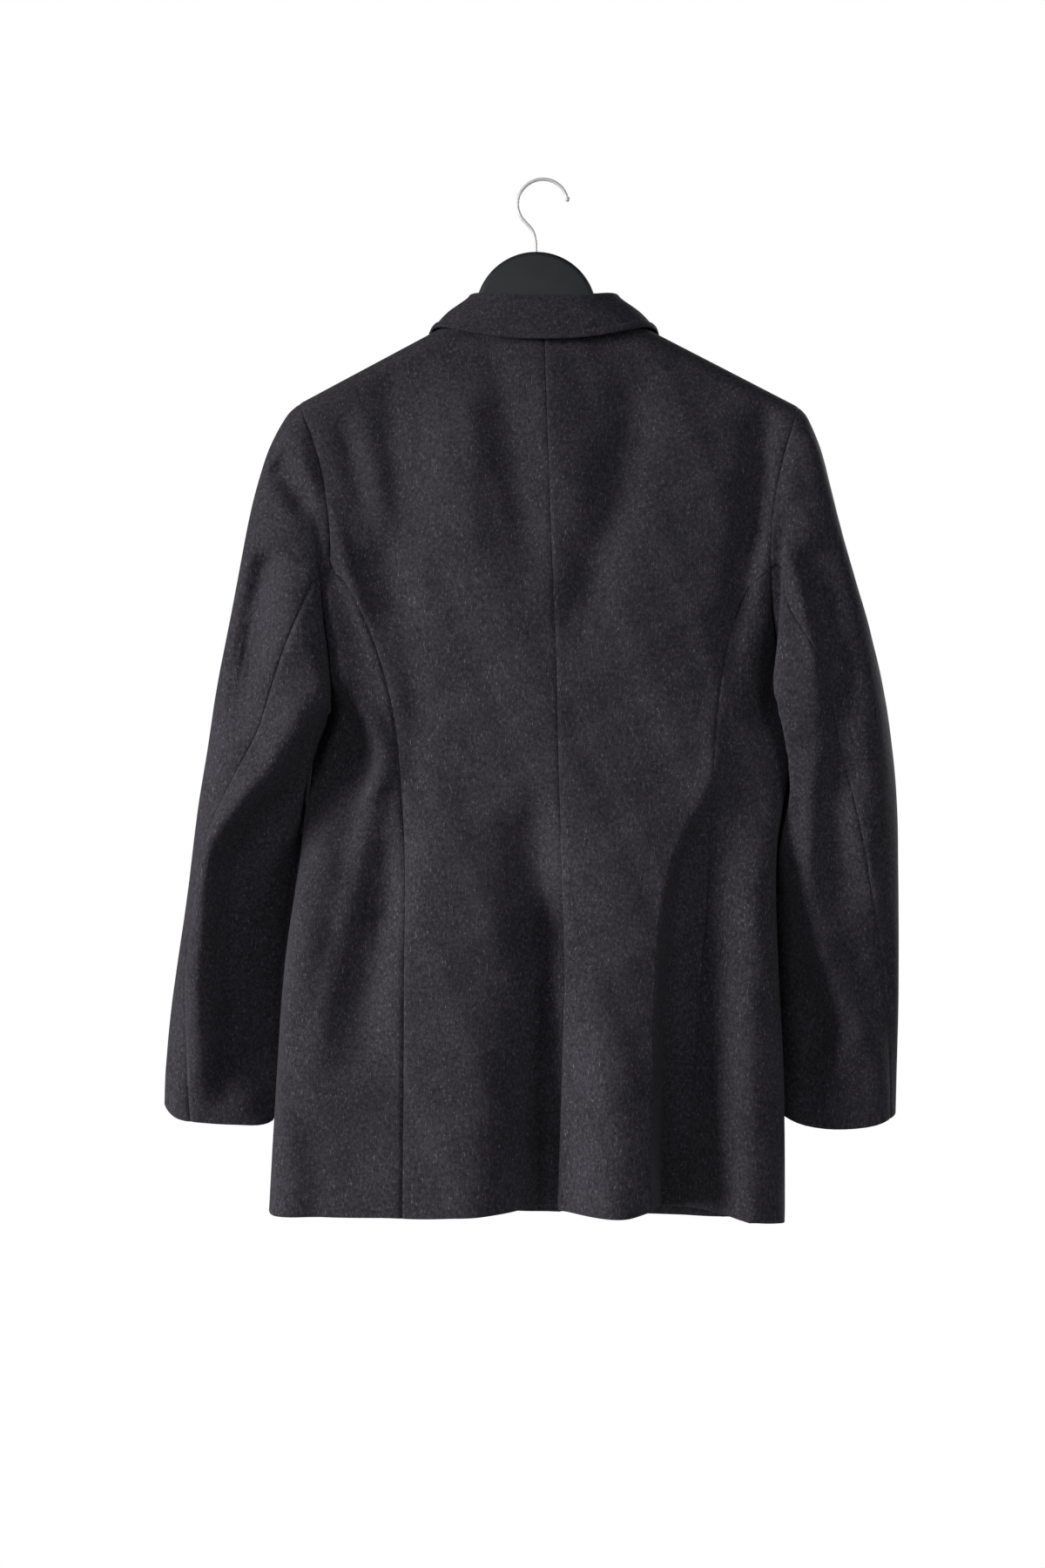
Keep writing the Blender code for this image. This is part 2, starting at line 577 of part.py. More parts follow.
# ---------------------------------------------------------------- objects and materials
def material(name):
    if name in bpy.data.materials:
        return bpy.data.materials[name]
    red, green, blue, roughness, metallic = COLOURS[name]
    made = bpy.data.materials.new(name)
    made.use_nodes = True
    shader = made.node_tree.nodes["Principled BSDF"]
    shader.inputs["Base Color"].default_value = (red, green, blue, 1)
    shader.inputs["Roughness"].default_value = roughness
    shader.inputs["Metallic"].default_value = metallic
    return made


def add(name, data, finish):
    made = bpy.data.objects.new(name, data)
    made.data.materials.append(material(finish))
    blazer.objects.link(made)
    return made


def as_mesh(source):
    """The evaluated mesh of a curve, with its caps welded; the curve is removed."""
    name = source.name
    graph = bpy.context.evaluated_depsgraph_get()
    mesh = bpy.data.meshes.new_from_object(source.evaluated_get(graph))
    bm = bmesh.new()
    bm.from_mesh(mesh)
    bmesh.ops.remove_doubles(bm, verts=bm.verts, dist=0.00001)
    bmesh.ops.dissolve_limit(bm, angle_limit=math.radians(0.5), verts=bm.verts, edges=bm.edges)
    bmesh.ops.recalc_face_normals(bm, faces=bm.faces)
    bm.to_mesh(mesh)
    bm.free()
    made = bpy.data.objects.new(name + "_mesh", mesh)
    made.matrix_world = source.matrix_world
    blazer.objects.link(made)
    bpy.data.objects.remove(source)
    made.name = name
    return made


def cutter(name, mesh_maker):
    bm = bmesh.new()
    mesh_maker(bm)
    mesh = bpy.data.meshes.new(name)
    bm.to_mesh(mesh)
    bm.free()
    made = bpy.data.objects.new(name, mesh)
    made.hide_render = True
    made.display_type = "WIRE"
    cutters.objects.link(made)
    return made


def boolean(target, tool, operation):
    modifier = target.modifiers.new(operation.lower(), "BOOLEAN")
    modifier.operation = operation
    modifier.solver = "EXACT"
    modifier.object = tool


# ---------------------------------------------------------------- pieces
def make_cloth():
    head, under = len(RISE), 6
    grids, facing = {}, {}
    for side, name in ((-1, "left"), (1, "right")):
        grids[f"back_{name}"] = back_grid(side)
        grids[f"side_body_{name}"] = side_grid(side, under)
        grids[f"front_{name}"] = front_grid(side)
        facing[f"back_{name}"] = -side
        facing[f"side_body_{name}"] = facing[f"front_{name}"] = side
        back = [row[0] for row in grids[f"back_{name}"]][-head - 1:]
        front = [row[0] for row in grids[f"front_{name}"]][-head - 1:]
        below = grids[f"side_body_{name}"][-1]
        armhole = back + front[-2::-1] + below[-2:0:-1]
        rings = sleeve_rings(side, armhole, head, under)
        grids[f"top_sleeve_{name}"] = [ring[:2 * head + 1] for ring in rings]
        grids[f"under_sleeve_{name}"] = [ring[2 * head:] + ring[:1] for ring in rings]
        facing[f"top_sleeve_{name}"] = facing[f"under_sleeve_{name}"] = -side
    normals = shared_normals(grids, facing)
    for name, grid in grids.items():
        wall(name, grid, normals, facing[name])

    right_back = grids["back_right"]
    under_vent = [[point - normals[key_of(point)] * (LAYER + 0.0004) for point in row[-3:]]
                  for row in right_back[:VENT_ROWS + 1]]
    own = {"vent_underlap": under_vent, "collar": collar_grid(),
           "lapel_left": lapel_grid(-1), "lapel_right": lapel_grid(1)}
    turned = {"vent_underlap": -1, "collar": 1, "lapel_left": 1, "lapel_right": -1}
    for name, grid in own.items():
        wall(name, grid, shared_normals({name: grid}, turned), turned[name])


def make_buttons():
    """Flat sew-through buttons down the centre front, each square to the cloth behind it."""
    for number, z in enumerate(BUTTON_HEIGHTS, 1):
        bm = bmesh.new()
        bmesh.ops.create_cone(bm, cap_ends=True, segments=24, radius1=BUTTON_RADIUS,
                              radius2=BUTTON_RADIUS * 0.9, depth=BUTTON_THICK)
        mesh = bpy.data.meshes.new(f"button_{number}")
        bm.to_mesh(mesh)
        bm.free()
        button = add(f"button_{number}", mesh, "horn")
        reach = BUTTON_RADIUS
        upright = on_body(0, z + reach, 1) - on_body(0, z - reach, 1)
        across = on_body(reach, z, 1) - on_body(-reach, z, 1)
        out = upright.cross(across).normalized()
        button.rotation_euler = out.to_track_quat("Z", "Y").to_euler()
        button.location = on_body(0, z, 1) + out * (BUTTON_THICK / 2 + 0.0004)


def hanger_outline():
    """The hanger seen from the front: sloping arms under the shoulders and a round neck."""
    drop = CLOTH / math.cos(math.radians(28)) + 0.0006
    cx, cz = DOME_CENTRE
    arm = {}
    for side in (-1, 1):
        tip, foot = cx + side * ARM_REACH, cx + side * DOME_RADIUS
        turn = cx + side * ARM_TURN
        arm[side] = [(x, shoulder_line(x) - drop) for x in (tip, turn)]
        arm[side].append((foot, arm[side][-1][1]))
    dome = []
    for i in range(1, 20):
        angle = math.radians(180 - 9 * i)
        dome.append((cx + DOME_RADIUS * math.cos(angle), cz + DOME_RADIUS * math.sin(angle)))
    tip_left, tip_right = arm[-1][0], arm[1][0]
    below = [(tip_right[0], tip_right[1] - ARM_DEPTH), (cx + 0.075, -0.166), (cx + 0.035, -0.156),
             (cx, -0.153), (cx - 0.035, -0.156), (cx - 0.075, -0.166),
             (tip_left[0], tip_left[1] - ARM_DEPTH)]
    return arm[-1] + dome + arm[1][::-1] + below


def make_hanger():
    curve = bpy.data.curves.new("hanger", "CURVE")
    curve.dimensions = "2D"
    curve.fill_mode = "BOTH"
    curve.extrude = HANGER_THICK / 2
    outline = hanger_outline()
    spline = curve.splines.new("POLY")
    spline.points.add(len(outline) - 1)
    for point, (x, z) in zip(spline.points, outline):
        point.co = (x, z, 0, 1)
    spline.use_cyclic_u = True
    flat = bpy.data.objects.new("hanger", curve)
    flat.rotation_euler = (math.radians(90), 0, 0)
    blazer.objects.link(flat)
    bpy.context.view_layer.update()
    hanger = as_mesh(flat)
    hanger.data.materials.clear()
    hanger.data.materials.append(material("hanger"))
    edges = hanger.modifiers.new("rounded edges", "BEVEL")
    edges.width = 0.0054
    edges.segments = 3
    edges.limit_method = "ANGLE"
    edges.angle_limit = math.radians(50)
    top = DOME_CENTRE[1] + DOME_RADIUS

    def bore(bm):
        spot = Matrix.Translation((STEM[-1][0], 0, top - BORE_DEPTH + 0.02))
        bmesh.ops.create_cone(bm, cap_ends=True, segments=16, radius1=WIRE + 0.0003,
                              radius2=WIRE + 0.0003, depth=0.04, matrix=spot)

    boolean(hanger, cutter("stem_bore", bore), "DIFFERENCE")


def make_hook():
    curve = bpy.data.curves.new("hook", "CURVE")
    curve.dimensions = "3D"
    curve.bevel_depth = WIRE
    curve.bevel_resolution = 2
    curve.use_fill_caps = True
    cx, cz = HOOK_X, WIRE - HOOK_RADIUS
    line = []
    for i in range(26):
        angle = math.radians(mix(HOOK_FROM, HOOK_TO, i / 25))
        line.append((cx + HOOK_RADIUS * math.cos(angle), cz + HOOK_RADIUS * math.sin(angle)))
    tip = line[0]
    line += STEM
    spline = curve.splines.new("POLY")
    spline.points.add(len(line) - 1)
    for point, (x, z) in zip(spline.points, line):
        point.co = (x, 0, z, 1)
    wire = bpy.data.objects.new("hook", curve)
    blazer.objects.link(wire)
    bpy.context.view_layer.update()
    hook = as_mesh(wire)
    hook.data.materials.clear()
    hook.data.materials.append(material("chrome"))

    def ball(bm):
        bmesh.ops.create_uvsphere(bm, u_segments=14, v_segments=9, radius=HOOK_BALL,
                                  matrix=Matrix.Translation((tip[0], 0, tip[1])))

    boolean(hook, cutter("hook_ball", ball), "UNION")


for old in list(bpy.data.objects):
    bpy.data.objects.remove(old)
blazer = bpy.data.collections.new("blazer_on_hanger")
cutters = bpy.data.collections.new("cutters")
bpy.context.scene.collection.children.link(blazer)
bpy.context.scene.collection.children.link(cutters)
make_cloth()
make_buttons()
make_hanger()
make_hook()
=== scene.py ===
import math
from collections import namedtuple

import bmesh
import bpy
import numpy as np
from mathutils import Matrix, Vector


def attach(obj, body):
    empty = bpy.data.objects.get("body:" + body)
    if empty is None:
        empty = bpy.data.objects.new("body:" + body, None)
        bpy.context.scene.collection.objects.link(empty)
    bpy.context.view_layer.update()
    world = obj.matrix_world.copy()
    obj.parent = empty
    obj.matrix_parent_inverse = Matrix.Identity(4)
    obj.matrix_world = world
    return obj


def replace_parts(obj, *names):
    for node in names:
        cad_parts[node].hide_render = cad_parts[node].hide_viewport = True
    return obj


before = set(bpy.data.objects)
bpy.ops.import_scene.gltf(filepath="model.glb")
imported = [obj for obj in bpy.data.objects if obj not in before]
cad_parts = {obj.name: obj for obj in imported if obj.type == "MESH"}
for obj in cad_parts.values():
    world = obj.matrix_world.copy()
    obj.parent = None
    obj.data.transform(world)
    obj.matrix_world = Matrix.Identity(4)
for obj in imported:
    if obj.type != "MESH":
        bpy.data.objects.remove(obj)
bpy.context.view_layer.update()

# ------------------------------------------------------------ the studio
# A camera square to the blazer's back at the height of its waist, before plain white. The main soft panel
# stands to the left at that height and rakes the folds. Others fill from above behind the camera, from
# the right and from the blazer's front.
CAMERA_PLACE = (-0.0172, -2.2, -0.540)
LENS = 56.41
FLOOR = -1.62
FLOOR_HALF = 1.10       # the floor ends before it would come into view behind the blazer

FLOOR_SHADE = (0.80, 0.80, 0.80, 1)
FLOOR_ROUGH = 0.9
ROOM_COLOUR = (0.95, 0.97, 1.0, 1)
ROOM_STRENGTH = 0.03    # the faint light of the room, besides the panels


def put(name, data):
    """Sets a camera, light or mesh in the scene."""
    placed = bpy.data.objects.new(name, data)
    bpy.context.scene.collection.objects.link(placed)
    return placed


lens = bpy.data.cameras.new("camera")
lens.lens = LENS
camera = put("camera", lens)
camera.location = CAMERA_PLACE
camera.rotation_euler = (math.radians(90), 0, 0)
bpy.context.scene.camera = camera
bpy.context.scene.view_settings.view_transform = "Standard"


def soft_panel(name, place, aim, size, power, spread=180):
    """A large square light panel that faces a point; a grid before it narrows its spread."""
    panel = bpy.data.lights.new(name, "AREA")
    panel.shape = "SQUARE"
    panel.size = size
    panel.energy = power
    panel.spread = math.radians(spread)
    stand = put(name, panel)
    stand.location = place
    stand.rotation_euler = (Vector(aim) - Vector(place)).to_track_quat("-Z", "Y").to_euler()


soft_panel("key_panel", (-2.85, -1.12, -0.45), (0, 0, -0.72), 1.6, 11.2, 34)
soft_panel("fill_panel", (-0.80, -2.90, 0.40), (0, 0, -0.80), 1.3, 1.9, 44)
soft_panel("right_panel", (2.3, -1.7, 0.2), (0, 0, -0.45), 1.2, 14)
soft_panel("front_side_panel", (1.9, 2.2, 0.3), (0, 0, -0.5), 1.6, 60)

studio = bpy.data.worlds.new("studio")
studio.use_nodes = True
sky = studio.node_tree
seen = sky.nodes["Background"]
seen.inputs["Color"].default_value = (1, 1, 1, 1)
seen.inputs["Strength"].default_value = 1.0
lighting = sky.nodes.new("ShaderNodeBackground")
lighting.inputs["Color"].default_value = ROOM_COLOUR
lighting.inputs["Strength"].default_value = ROOM_STRENGTH
path = sky.nodes.new("ShaderNodeLightPath")
either = sky.nodes.new("ShaderNodeMixShader")
sky.links.new(path.outputs["Is Camera Ray"], either.inputs[0])
sky.links.new(lighting.outputs[0], either.inputs[1])
sky.links.new(seen.outputs[0], either.inputs[2])
sky.links.new(either.outputs[0], sky.nodes["World Output"].inputs["Surface"])
bpy.context.scene.world = studio

floor_mesh = bpy.data.meshes.new("floor")
corners = [(x * FLOOR_HALF, y * FLOOR_HALF, FLOOR) for x, y in ((-1, -1), (1, -1), (1, 1), (-1, 1))]
floor_mesh.from_pydata(corners, [], [(0, 1, 2, 3)])
floor = put("floor", floor_mesh)
paint = bpy.data.materials.new("pale_floor")
paint.use_nodes = True
paint.node_tree.nodes["Principled BSDF"].inputs["Base Color"].default_value = FLOOR_SHADE
paint.node_tree.nodes["Principled BSDF"].inputs["Roughness"].default_value = FLOOR_ROUGH
floor_mesh.materials.append(paint)


# ------------------------------------------------------------ wool melton
# The cloth of the whole blazer: thick charcoal melton, fulled until its weave is hidden under a matted
# nap. Dark and pale fibres are spun together, so it looks mottled close up, with a few pale hairs.
class Wire:
    """An output of a material's nodes, with the arithmetic of plain numbers."""

    def __init__(self, finish, socket):
        self.finish = finish
        self.socket = socket

    def math(self, operation, first, second):
        return self.finish.node("ShaderNodeMath", {0: first, 1: second}, operation=operation)

    def __add__(self, other):
        return self.math("ADD", self, other)

    __radd__ = __add__

    def __sub__(self, other):
        return self.math("SUBTRACT", self, other)

    def __rsub__(self, other):
        return self.math("SUBTRACT", other, self)

    def __mul__(self, other):
        return self.math("MULTIPLY", self, other)

    __rmul__ = __mul__

    def __pow__(self, other):
        return self.math("POWER", self, other)


class Finish:
    """A material as it is mixed: it makes the nodes and joins them to the shader."""

    def __init__(self, name, **constants):
        self.material = bpy.data.materials.new(name)
        self.material.use_nodes = True
        self.tree = self.material.node_tree
        self.shader = self.tree.nodes["Principled BSDF"]
        for words, value in constants.items():
            self.shader.inputs[words.replace("_", " ").title().replace("Ior", "IOR")].default_value = value

    def join(self, socket, value):
        if isinstance(value, Wire):
            self.tree.links.new(value.socket, socket)
        else:
            socket.default_value = value

    def node(self, kind, sockets, out=0, stops=(), **settings):
        made = self.tree.nodes.new(kind)
        for name, value in settings.items():
            setattr(made, name, value)
        for number, (place, shade) in enumerate(stops):
            stop = made.color_ramp.elements[number] if number < 2 else made.color_ramp.elements.new(place)
            stop.position = place
            stop.color = (shade, shade, shade, 1)
        for name, value in sockets.items():
            self.join(made.inputs[name], value)
        return Wire(self, made.outputs[out])

    def place(self, turn=(0, 0, 0), scale=(1, 1, 1)):
        """The object's own coordinates, turned and stretched."""
        at = self.node("ShaderNodeTexCoord", {}, out="Object")
        return self.node("ShaderNodeMapping", {"Vector": at, "Rotation": turn, "Scale": scale})

    def noise(self, at, scale, detail=2.0, roughness=0.5):
        return self.node("ShaderNodeTexNoise", {"Vector": at, "Scale": scale, "Detail": detail,
                                                "Roughness": roughness})

    def step(self, value, low, high):
        """0 below low, 1 above high, with a soft run between them."""
        return self.node("ShaderNodeMapRange", {"Value": value, "From Min": low, "From Max": high},
                         interpolation_type="SMOOTHSTEP")

    def tint(self, share, first, second):
        """A mix of two colours."""
        sides = [side if isinstance(side, Wire) else (*side, 1) for side in (first, second)]
        return self.node("ShaderNodeMix", {0: share, 6: sides[0], 7: sides[1]}, out=2, data_type="RGBA")

    def bump(self, height, strength, distance):
        return self.node("ShaderNodeBump", {"Height": height, "Strength": strength, "Distance": distance})

    def feed(self, **sockets):
        for words, value in sockets.items():
            self.join(self.shader.inputs[words.replace("_", " ").title()], value)
        return self.material


WOOL_DARK = (0.0120, 0.0109, 0.0139)
WOOL_PALE = (0.0560, 0.0516, 0.0645)
WOOL_HAIR = (0.235, 0.222, 0.262)
WOOL_CLOUD, WOOL_MOTTLE, WOOL_NAP = 14, 330, 1150       # patches a metre
FIBRE_LAYS = (((0, 0.5, 0.2), 1500), ((0, -0.7, 0.9), 1300), ((0.4, 1.4, -0.5), 1700))  # turn, fibres a metre
FIBRE_LONG = 7          # a fibre is this many times as long as it is wide


def mix_wool(name):
    """Melton: mottled ground, a matted nap in three fibre directions and scattered pale hairs."""
    wool = Finish(name, roughness=0.93, sheen_weight=0.06, sheen_roughness=0.45,
                  sheen_tint=(0.75, 0.74, 0.80, 1), specular_ior_level=0.22)
    at = wool.place()
    cloud = wool.noise(at, WOOL_CLOUD, 2)
    mottle = wool.noise(at, WOOL_MOTTLE, 3, 0.62)
    nap = wool.noise(at, WOOL_NAP, 2, 0.6)
    fibres = [wool.noise(wool.place(turn, (fine, fine, fine / FIBRE_LONG)), 1.0, 2, 0.55)
              for turn, fine in FIBRE_LAYS]
    matted = fibres[0] * 0.4 + fibres[1] * 0.35 + fibres[2] * 0.25
    pale = (mottle - 0.5) * 1.9 + (matted - 0.5) * 2.0 + (nap - 0.5) * 0.8 + (cloud - 0.5) * 0.45
    ground = wool.tint(wool.step(pale, -0.66, 0.84), WOOL_DARK, WOOL_PALE)
    hairs = wool.step(fibres[0], 0.645, 0.71) + wool.step(fibres[1], 0.655, 0.72)
    coloured = wool.tint(hairs * wool.step(mottle, 0.36, 0.60) * 0.62, ground, WOOL_HAIR)
    relief = mottle * 0.55 + matted * 0.9 + nap * 0.4
    return wool.feed(base_color=coloured, roughness=0.90 + (mottle - 0.5) * 0.12,
                     normal=wool.bump(relief, 0.42, 0.0011))


melton = mix_wool("wool_melton")


# ------------------------------------------------------------ the body's form
# What every cut piece of the body follows: a flat, boxy tube that hangs from the shoulder ridge. Each
# row gives the side edges and the depth behind and in front; seams and hem have tables of their own.
HEM = -0.917
VENT_TOP = -0.610
BREAK = -0.417
BLADE = -0.350
UNDERARM = -0.425
SHOULDER = {-1: (-0.217, -0.200), 1: (0.230, -0.203)}
NECK = {-1: (-0.075, -0.124), 1: (0.079, -0.125)}
UNDERARM_X = {-1: -0.200, 1: 0.211}
ARMHOLE_BOW = {-1: 0.021, 1: -0.018}
NECK_CENTRE = 0.002
NECK_DROP = 0.007
RIDGE_RADIUS = 0.018
FILL_DEPTH = 0.130
EDGE_FLATNESS = 0.6
SIDES = {-1: "left", 1: "right"}        # the wearer's


def rows_of(kind, *rows):
    """A table whose rows are all of one kind."""
    return [kind(*row) for row in rows]


Row = namedtuple("Row", "z left right back front")
BODY = rows_of(
    Row, (-0.12, -0.262, 0.274, 0.052, 0.05), (-0.2, -0.266, 0.28, 0.06, 0.056),
    (-0.3, -0.25, 0.266, 0.064, 0.064), (-0.35, -0.226, 0.24, 0.064, 0.066),
    (-0.425, -0.2, 0.211, 0.06, 0.066), (-0.52, -0.205, 0.221, 0.053, 0.062),
    (-0.6, -0.215, 0.21, 0.054, 0.064), (-0.7, -0.229, 0.211, 0.058, 0.07),
    (-0.8, -0.236, 0.216, 0.061, 0.076), (-0.96, -0.245, 0.217, 0.064, 0.082))
Hem = namedtuple("Hem", "turn z")
# In degrees round the body from the centre back.
HEM_LINE = rows_of(
    Hem, (-180, -0.934), (-130, -0.928), (-90, -0.918), (-20, -0.917), (3, -0.913), (22, -0.916),
    (32, -0.909), (45, -0.914), (60, -0.925), (90, -0.93), (130, -0.936), (180, -0.934))
LEVELS = (-0.874, -0.830, -0.786, -0.742, -0.698, -0.654, VENT_TOP,
          -0.560, -0.510, -0.462, BREAK, -0.380, BLADE)
RISE = (0, 0.22, 0.43, 0.62, 0.78, 0.895, 0.965, 0.992, 1.0)
LEVEL_ROWS = 8          # fine rows to each step of LEVELS
RISE_ROWS = 6
HEAD = RISE_ROWS * (len(RISE) - 1)

Swell = namedtuple("Swell", "name top_x top_z low_x low_z width depth")
BACK_SWELLS = [
    Swell("vent hollow, left", 0.004, -0.540, -0.002, HEM, 0.034, -0.030),
    Swell("vent hollow, right", 0.018, -0.590, 0.016, HEM, 0.022, -0.008),
    Swell("left skirt swell", -0.066, -0.600, -0.062, HEM, 0.050, 0.006),
    Swell("right skirt swell", 0.066, -0.600, 0.066, HEM, 0.030, 0.008),
]
Tuck = namedtuple("Tuck", "z x")
# The brow of the pleat, from where it begins beside the seam down to the hem.
TUCK_EDGE = rows_of(
    Tuck, (-0.5, 0.154), (-0.528, 0.149), (-0.555, 0.138), (-0.585, 0.122), (-0.615, 0.11), (-0.66, 0.102),
    (-0.74, 0.097), (-0.85, 0.094), (HEM, 0.094))
TUCK_DEPTH = 0.070
TUCK_SAG = 0.13         # and its hem hangs lower by this share of its depth
TUCK_TURN = 0.015
TUCK_FLOOR = 0.030
TUCK_BACK = 0.060


def smooth(rows, column, at, key="z"):
    """A table's column at places along its key, on a smooth curve through the rows."""
    keys = np.array([getattr(row, key) for row in rows], float)
    values = np.array([getattr(row, column) for row in rows], float)
    if keys[0] > keys[-1]:
        keys, values = keys[::-1], values[::-1]
    return through(keys, values, at)


def through(keys, values, at):
    """Values at places along their keys, on the same smooth curve; values may be points."""
    at = np.clip(np.asarray(at, float), keys[0], keys[-1])
    i = np.clip(np.searchsorted(keys, at), 1, len(keys) - 1)
    low, high = np.maximum(np.arange(len(keys)) - 1, 0), np.minimum(np.arange(len(keys)) + 1, len(keys) - 1)
    slopes = ((values[high] - values[low]).T / (keys[high] - keys[low])).T
    span = keys[i] - keys[i - 1]
    share = (at - keys[i - 1]) / span
    if values.ndim > 1:
        shape = share.shape + (1,) * (values.ndim - 1)
        share, span = share.reshape(shape), span.reshape(shape)
    s2, s3 = share * share, share ** 3
    return ((2 * s3 - 3 * s2 + 1) * values[i - 1] + (s3 - 2 * s2 + share) * slopes[i - 1] * span
            + (3 * s2 - 2 * s3) * values[i] + (s3 - s2) * slopes[i] * span)


def ease(share):
    """0 to 1 with soft ends."""
    share = np.clip(share, 0.0, 1.0)
    return share * share * (3 - 2 * share)


def mix(first, second, share):
    return first + (second - first) * share


def refine(values, times):
    """The values with evenly spaced ones put between them."""
    places = np.linspace(0, len(values) - 1, (len(values) - 1) * times + 1)
    return np.interp(places, np.arange(len(values)), values)


def patch(bottom, top, first, last, across=None):
    """Rows of points that fill the outline of four edges; across spaces the columns."""
    bottom, top, first, last = (np.asarray(edge, float) for edge in (bottom, top, first, last))
    u = (np.linspace(0, 1, len(bottom)) if across is None else across)[None, :, None]
    v = np.linspace(0, 1, len(first))[:, None, None]
    corners = ((1 - v) * ((1 - u) * bottom[0] + u * bottom[-1]) + v * ((1 - u) * top[0] + u * top[-1]))
    return (1 - v) * bottom[None] + v * top[None] + (1 - u) * first[:, None] + u * last[:, None] - corners


def shoulder_line(x):
    """Height of the shoulder ridge, carried on past the neck as lines that cross in a soft turn."""
    x = np.asarray(x, float)
    left, right = (NECK[s][1] + (SHOULDER[s][1] - NECK[s][1]) * (x - NECK[s][0])
                   / (SHOULDER[s][0] - NECK[s][0]) for s in (-1, 1))
    return mix(left, right, ease((x - NECK_CENTRE) / 0.10 + 0.5))


def tuck_drop(x, z):
    """How far the cloth sinks in the deep pleat on the right."""
    down = np.maximum((z - TUCK_EDGE[0].z) / (HEM - TUCK_EDGE[0].z), 0)
    off = x - smooth(TUCK_EDGE, "x", z)
    return TUCK_DEPTH * down ** 0.95 * ease(off / TUCK_TURN) * (1 - ease((off - TUCK_FLOOR) / TUCK_BACK))


def fold_height(x, z):
    """How far the largest folds of the back lift the cloth."""
    lift = np.zeros(np.broadcast(x, z).shape)
    for fold in BACK_SWELLS:
        down = np.maximum((z - fold.top_z) / (fold.low_z - fold.top_z), 0)
        off = (x - mix(fold.top_x, fold.low_x, down)) / fold.width
        lift += fold.depth * ease(down) * np.exp(-off * off)
    return lift - tuck_drop(x, z)


def roundness(x, z):
    """1 at the middle of the body, 0 at its side edges."""
    left, right = smooth(BODY, "left", z), smooth(BODY, "right", z)
    reach = 2 * (x - (left + right) / 2) / (right - left)
    return np.maximum(1 - reach * reach, 0.0) ** (EDGE_FLATNESS / 2)


def body_depth(x, z, side):
    """Distance of the cloth from the middle plane, for the back (-1) or the front (1)."""
    x, z = np.asarray(x, float), np.asarray(z, float)
    plan = roundness(x, z)
    drop = np.maximum(shoulder_line(x) - z, 0.0)
    ridge = RIDGE_RADIUS * np.sqrt(1 - (1 - np.minimum(drop / RIDGE_RADIUS, 1)) ** 2)
    ridge = ridge * mix(1, plan, ease(drop / FILL_DEPTH))
    full = smooth(BODY, "back" if side < 0 else "front", z) - RIDGE_RADIUS
    depth = ridge + full * plan * (1 - np.exp(-drop / FILL_DEPTH))
    return depth + (fold_height(x, z) * np.minimum(1, 3 * plan) if side < 0 else 0.0)


def turn_of(x, z, side):
    left, right = smooth(BODY, "left", z), smooth(BODY, "right", z)
    turn = np.degrees(np.arcsin(np.clip(2 * (x - (left + right) / 2) / (right - left), -1, 1)))
    return turn if side < 0 else np.copysign(180, turn) - turn


def hem_at(turn):
    return smooth(HEM_LINE, "z", turn, "turn")


def armhole_x(side, z):
    (x0, z0), x1 = SHOULDER[side], UNDERARM_X[side]
    share = (z - z0) / (UNDERARM - z0)
    return mix(x0, x1, share) + ARMHOLE_BOW[side] * 4 * share * (1 - share)


def levels_on(line, turn_side):
    """The lower rows (x, z) of a seam given by its x at each height, from the hem up to the blades."""
    hem = float(hem_at(turn_of(float(line(HEM)), HEM, turn_side)))
    z = refine((HEM,) + LEVELS, LEVEL_ROWS)
    z = z + (hem - HEM) * (z - BLADE) / (HEM - BLADE)
    return np.stack([line(z), z], 1)


def rise_to(top, x_at):
    """The upper rows of an edge, from the blades to its top."""
    z = mix(BLADE, top, refine(RISE, RISE_ROWS))
    return np.stack([x_at(z) * np.ones(len(z)), z], 1)


def close_columns(count, wide):
    """Places across a piece, closer together at its two seams."""
    near = np.array([0, 0.0010, 0.0024, 0.0044, 0.0075]) / wide
    return np.concatenate([near, np.linspace(near[-1], 1 - near[-1], count - 2 * len(near) + 2)[1:-1],
                           (1 - near)[::-1]])


# The cloth's own creases. Each is a soft trough (depth below 0) or ridge along a curve from its top past
# its middle to its low end, in x and z; wide_left and wide_right are its flanks; fades are its run-outs.
Crease = namedtuple("Crease", "top middle low wide_left wide_right depth fade_in fade_out")
Ripple = namedtuple("Ripple", "across down turn height")
# Waves a metre: slow unevenness that no hand-made cloth is without.
RIPPLES = rows_of(
    Ripple, (9, 4, 0.3, 0.0007), (-6, 11, 1.9, 0.0006), (17, 7, 4.1, 0.0005), (-13, 19, 2.7, 0.0004),
    (31, 13, 0.9, 0.00022), (-23, 37, 5.2, 0.0002))


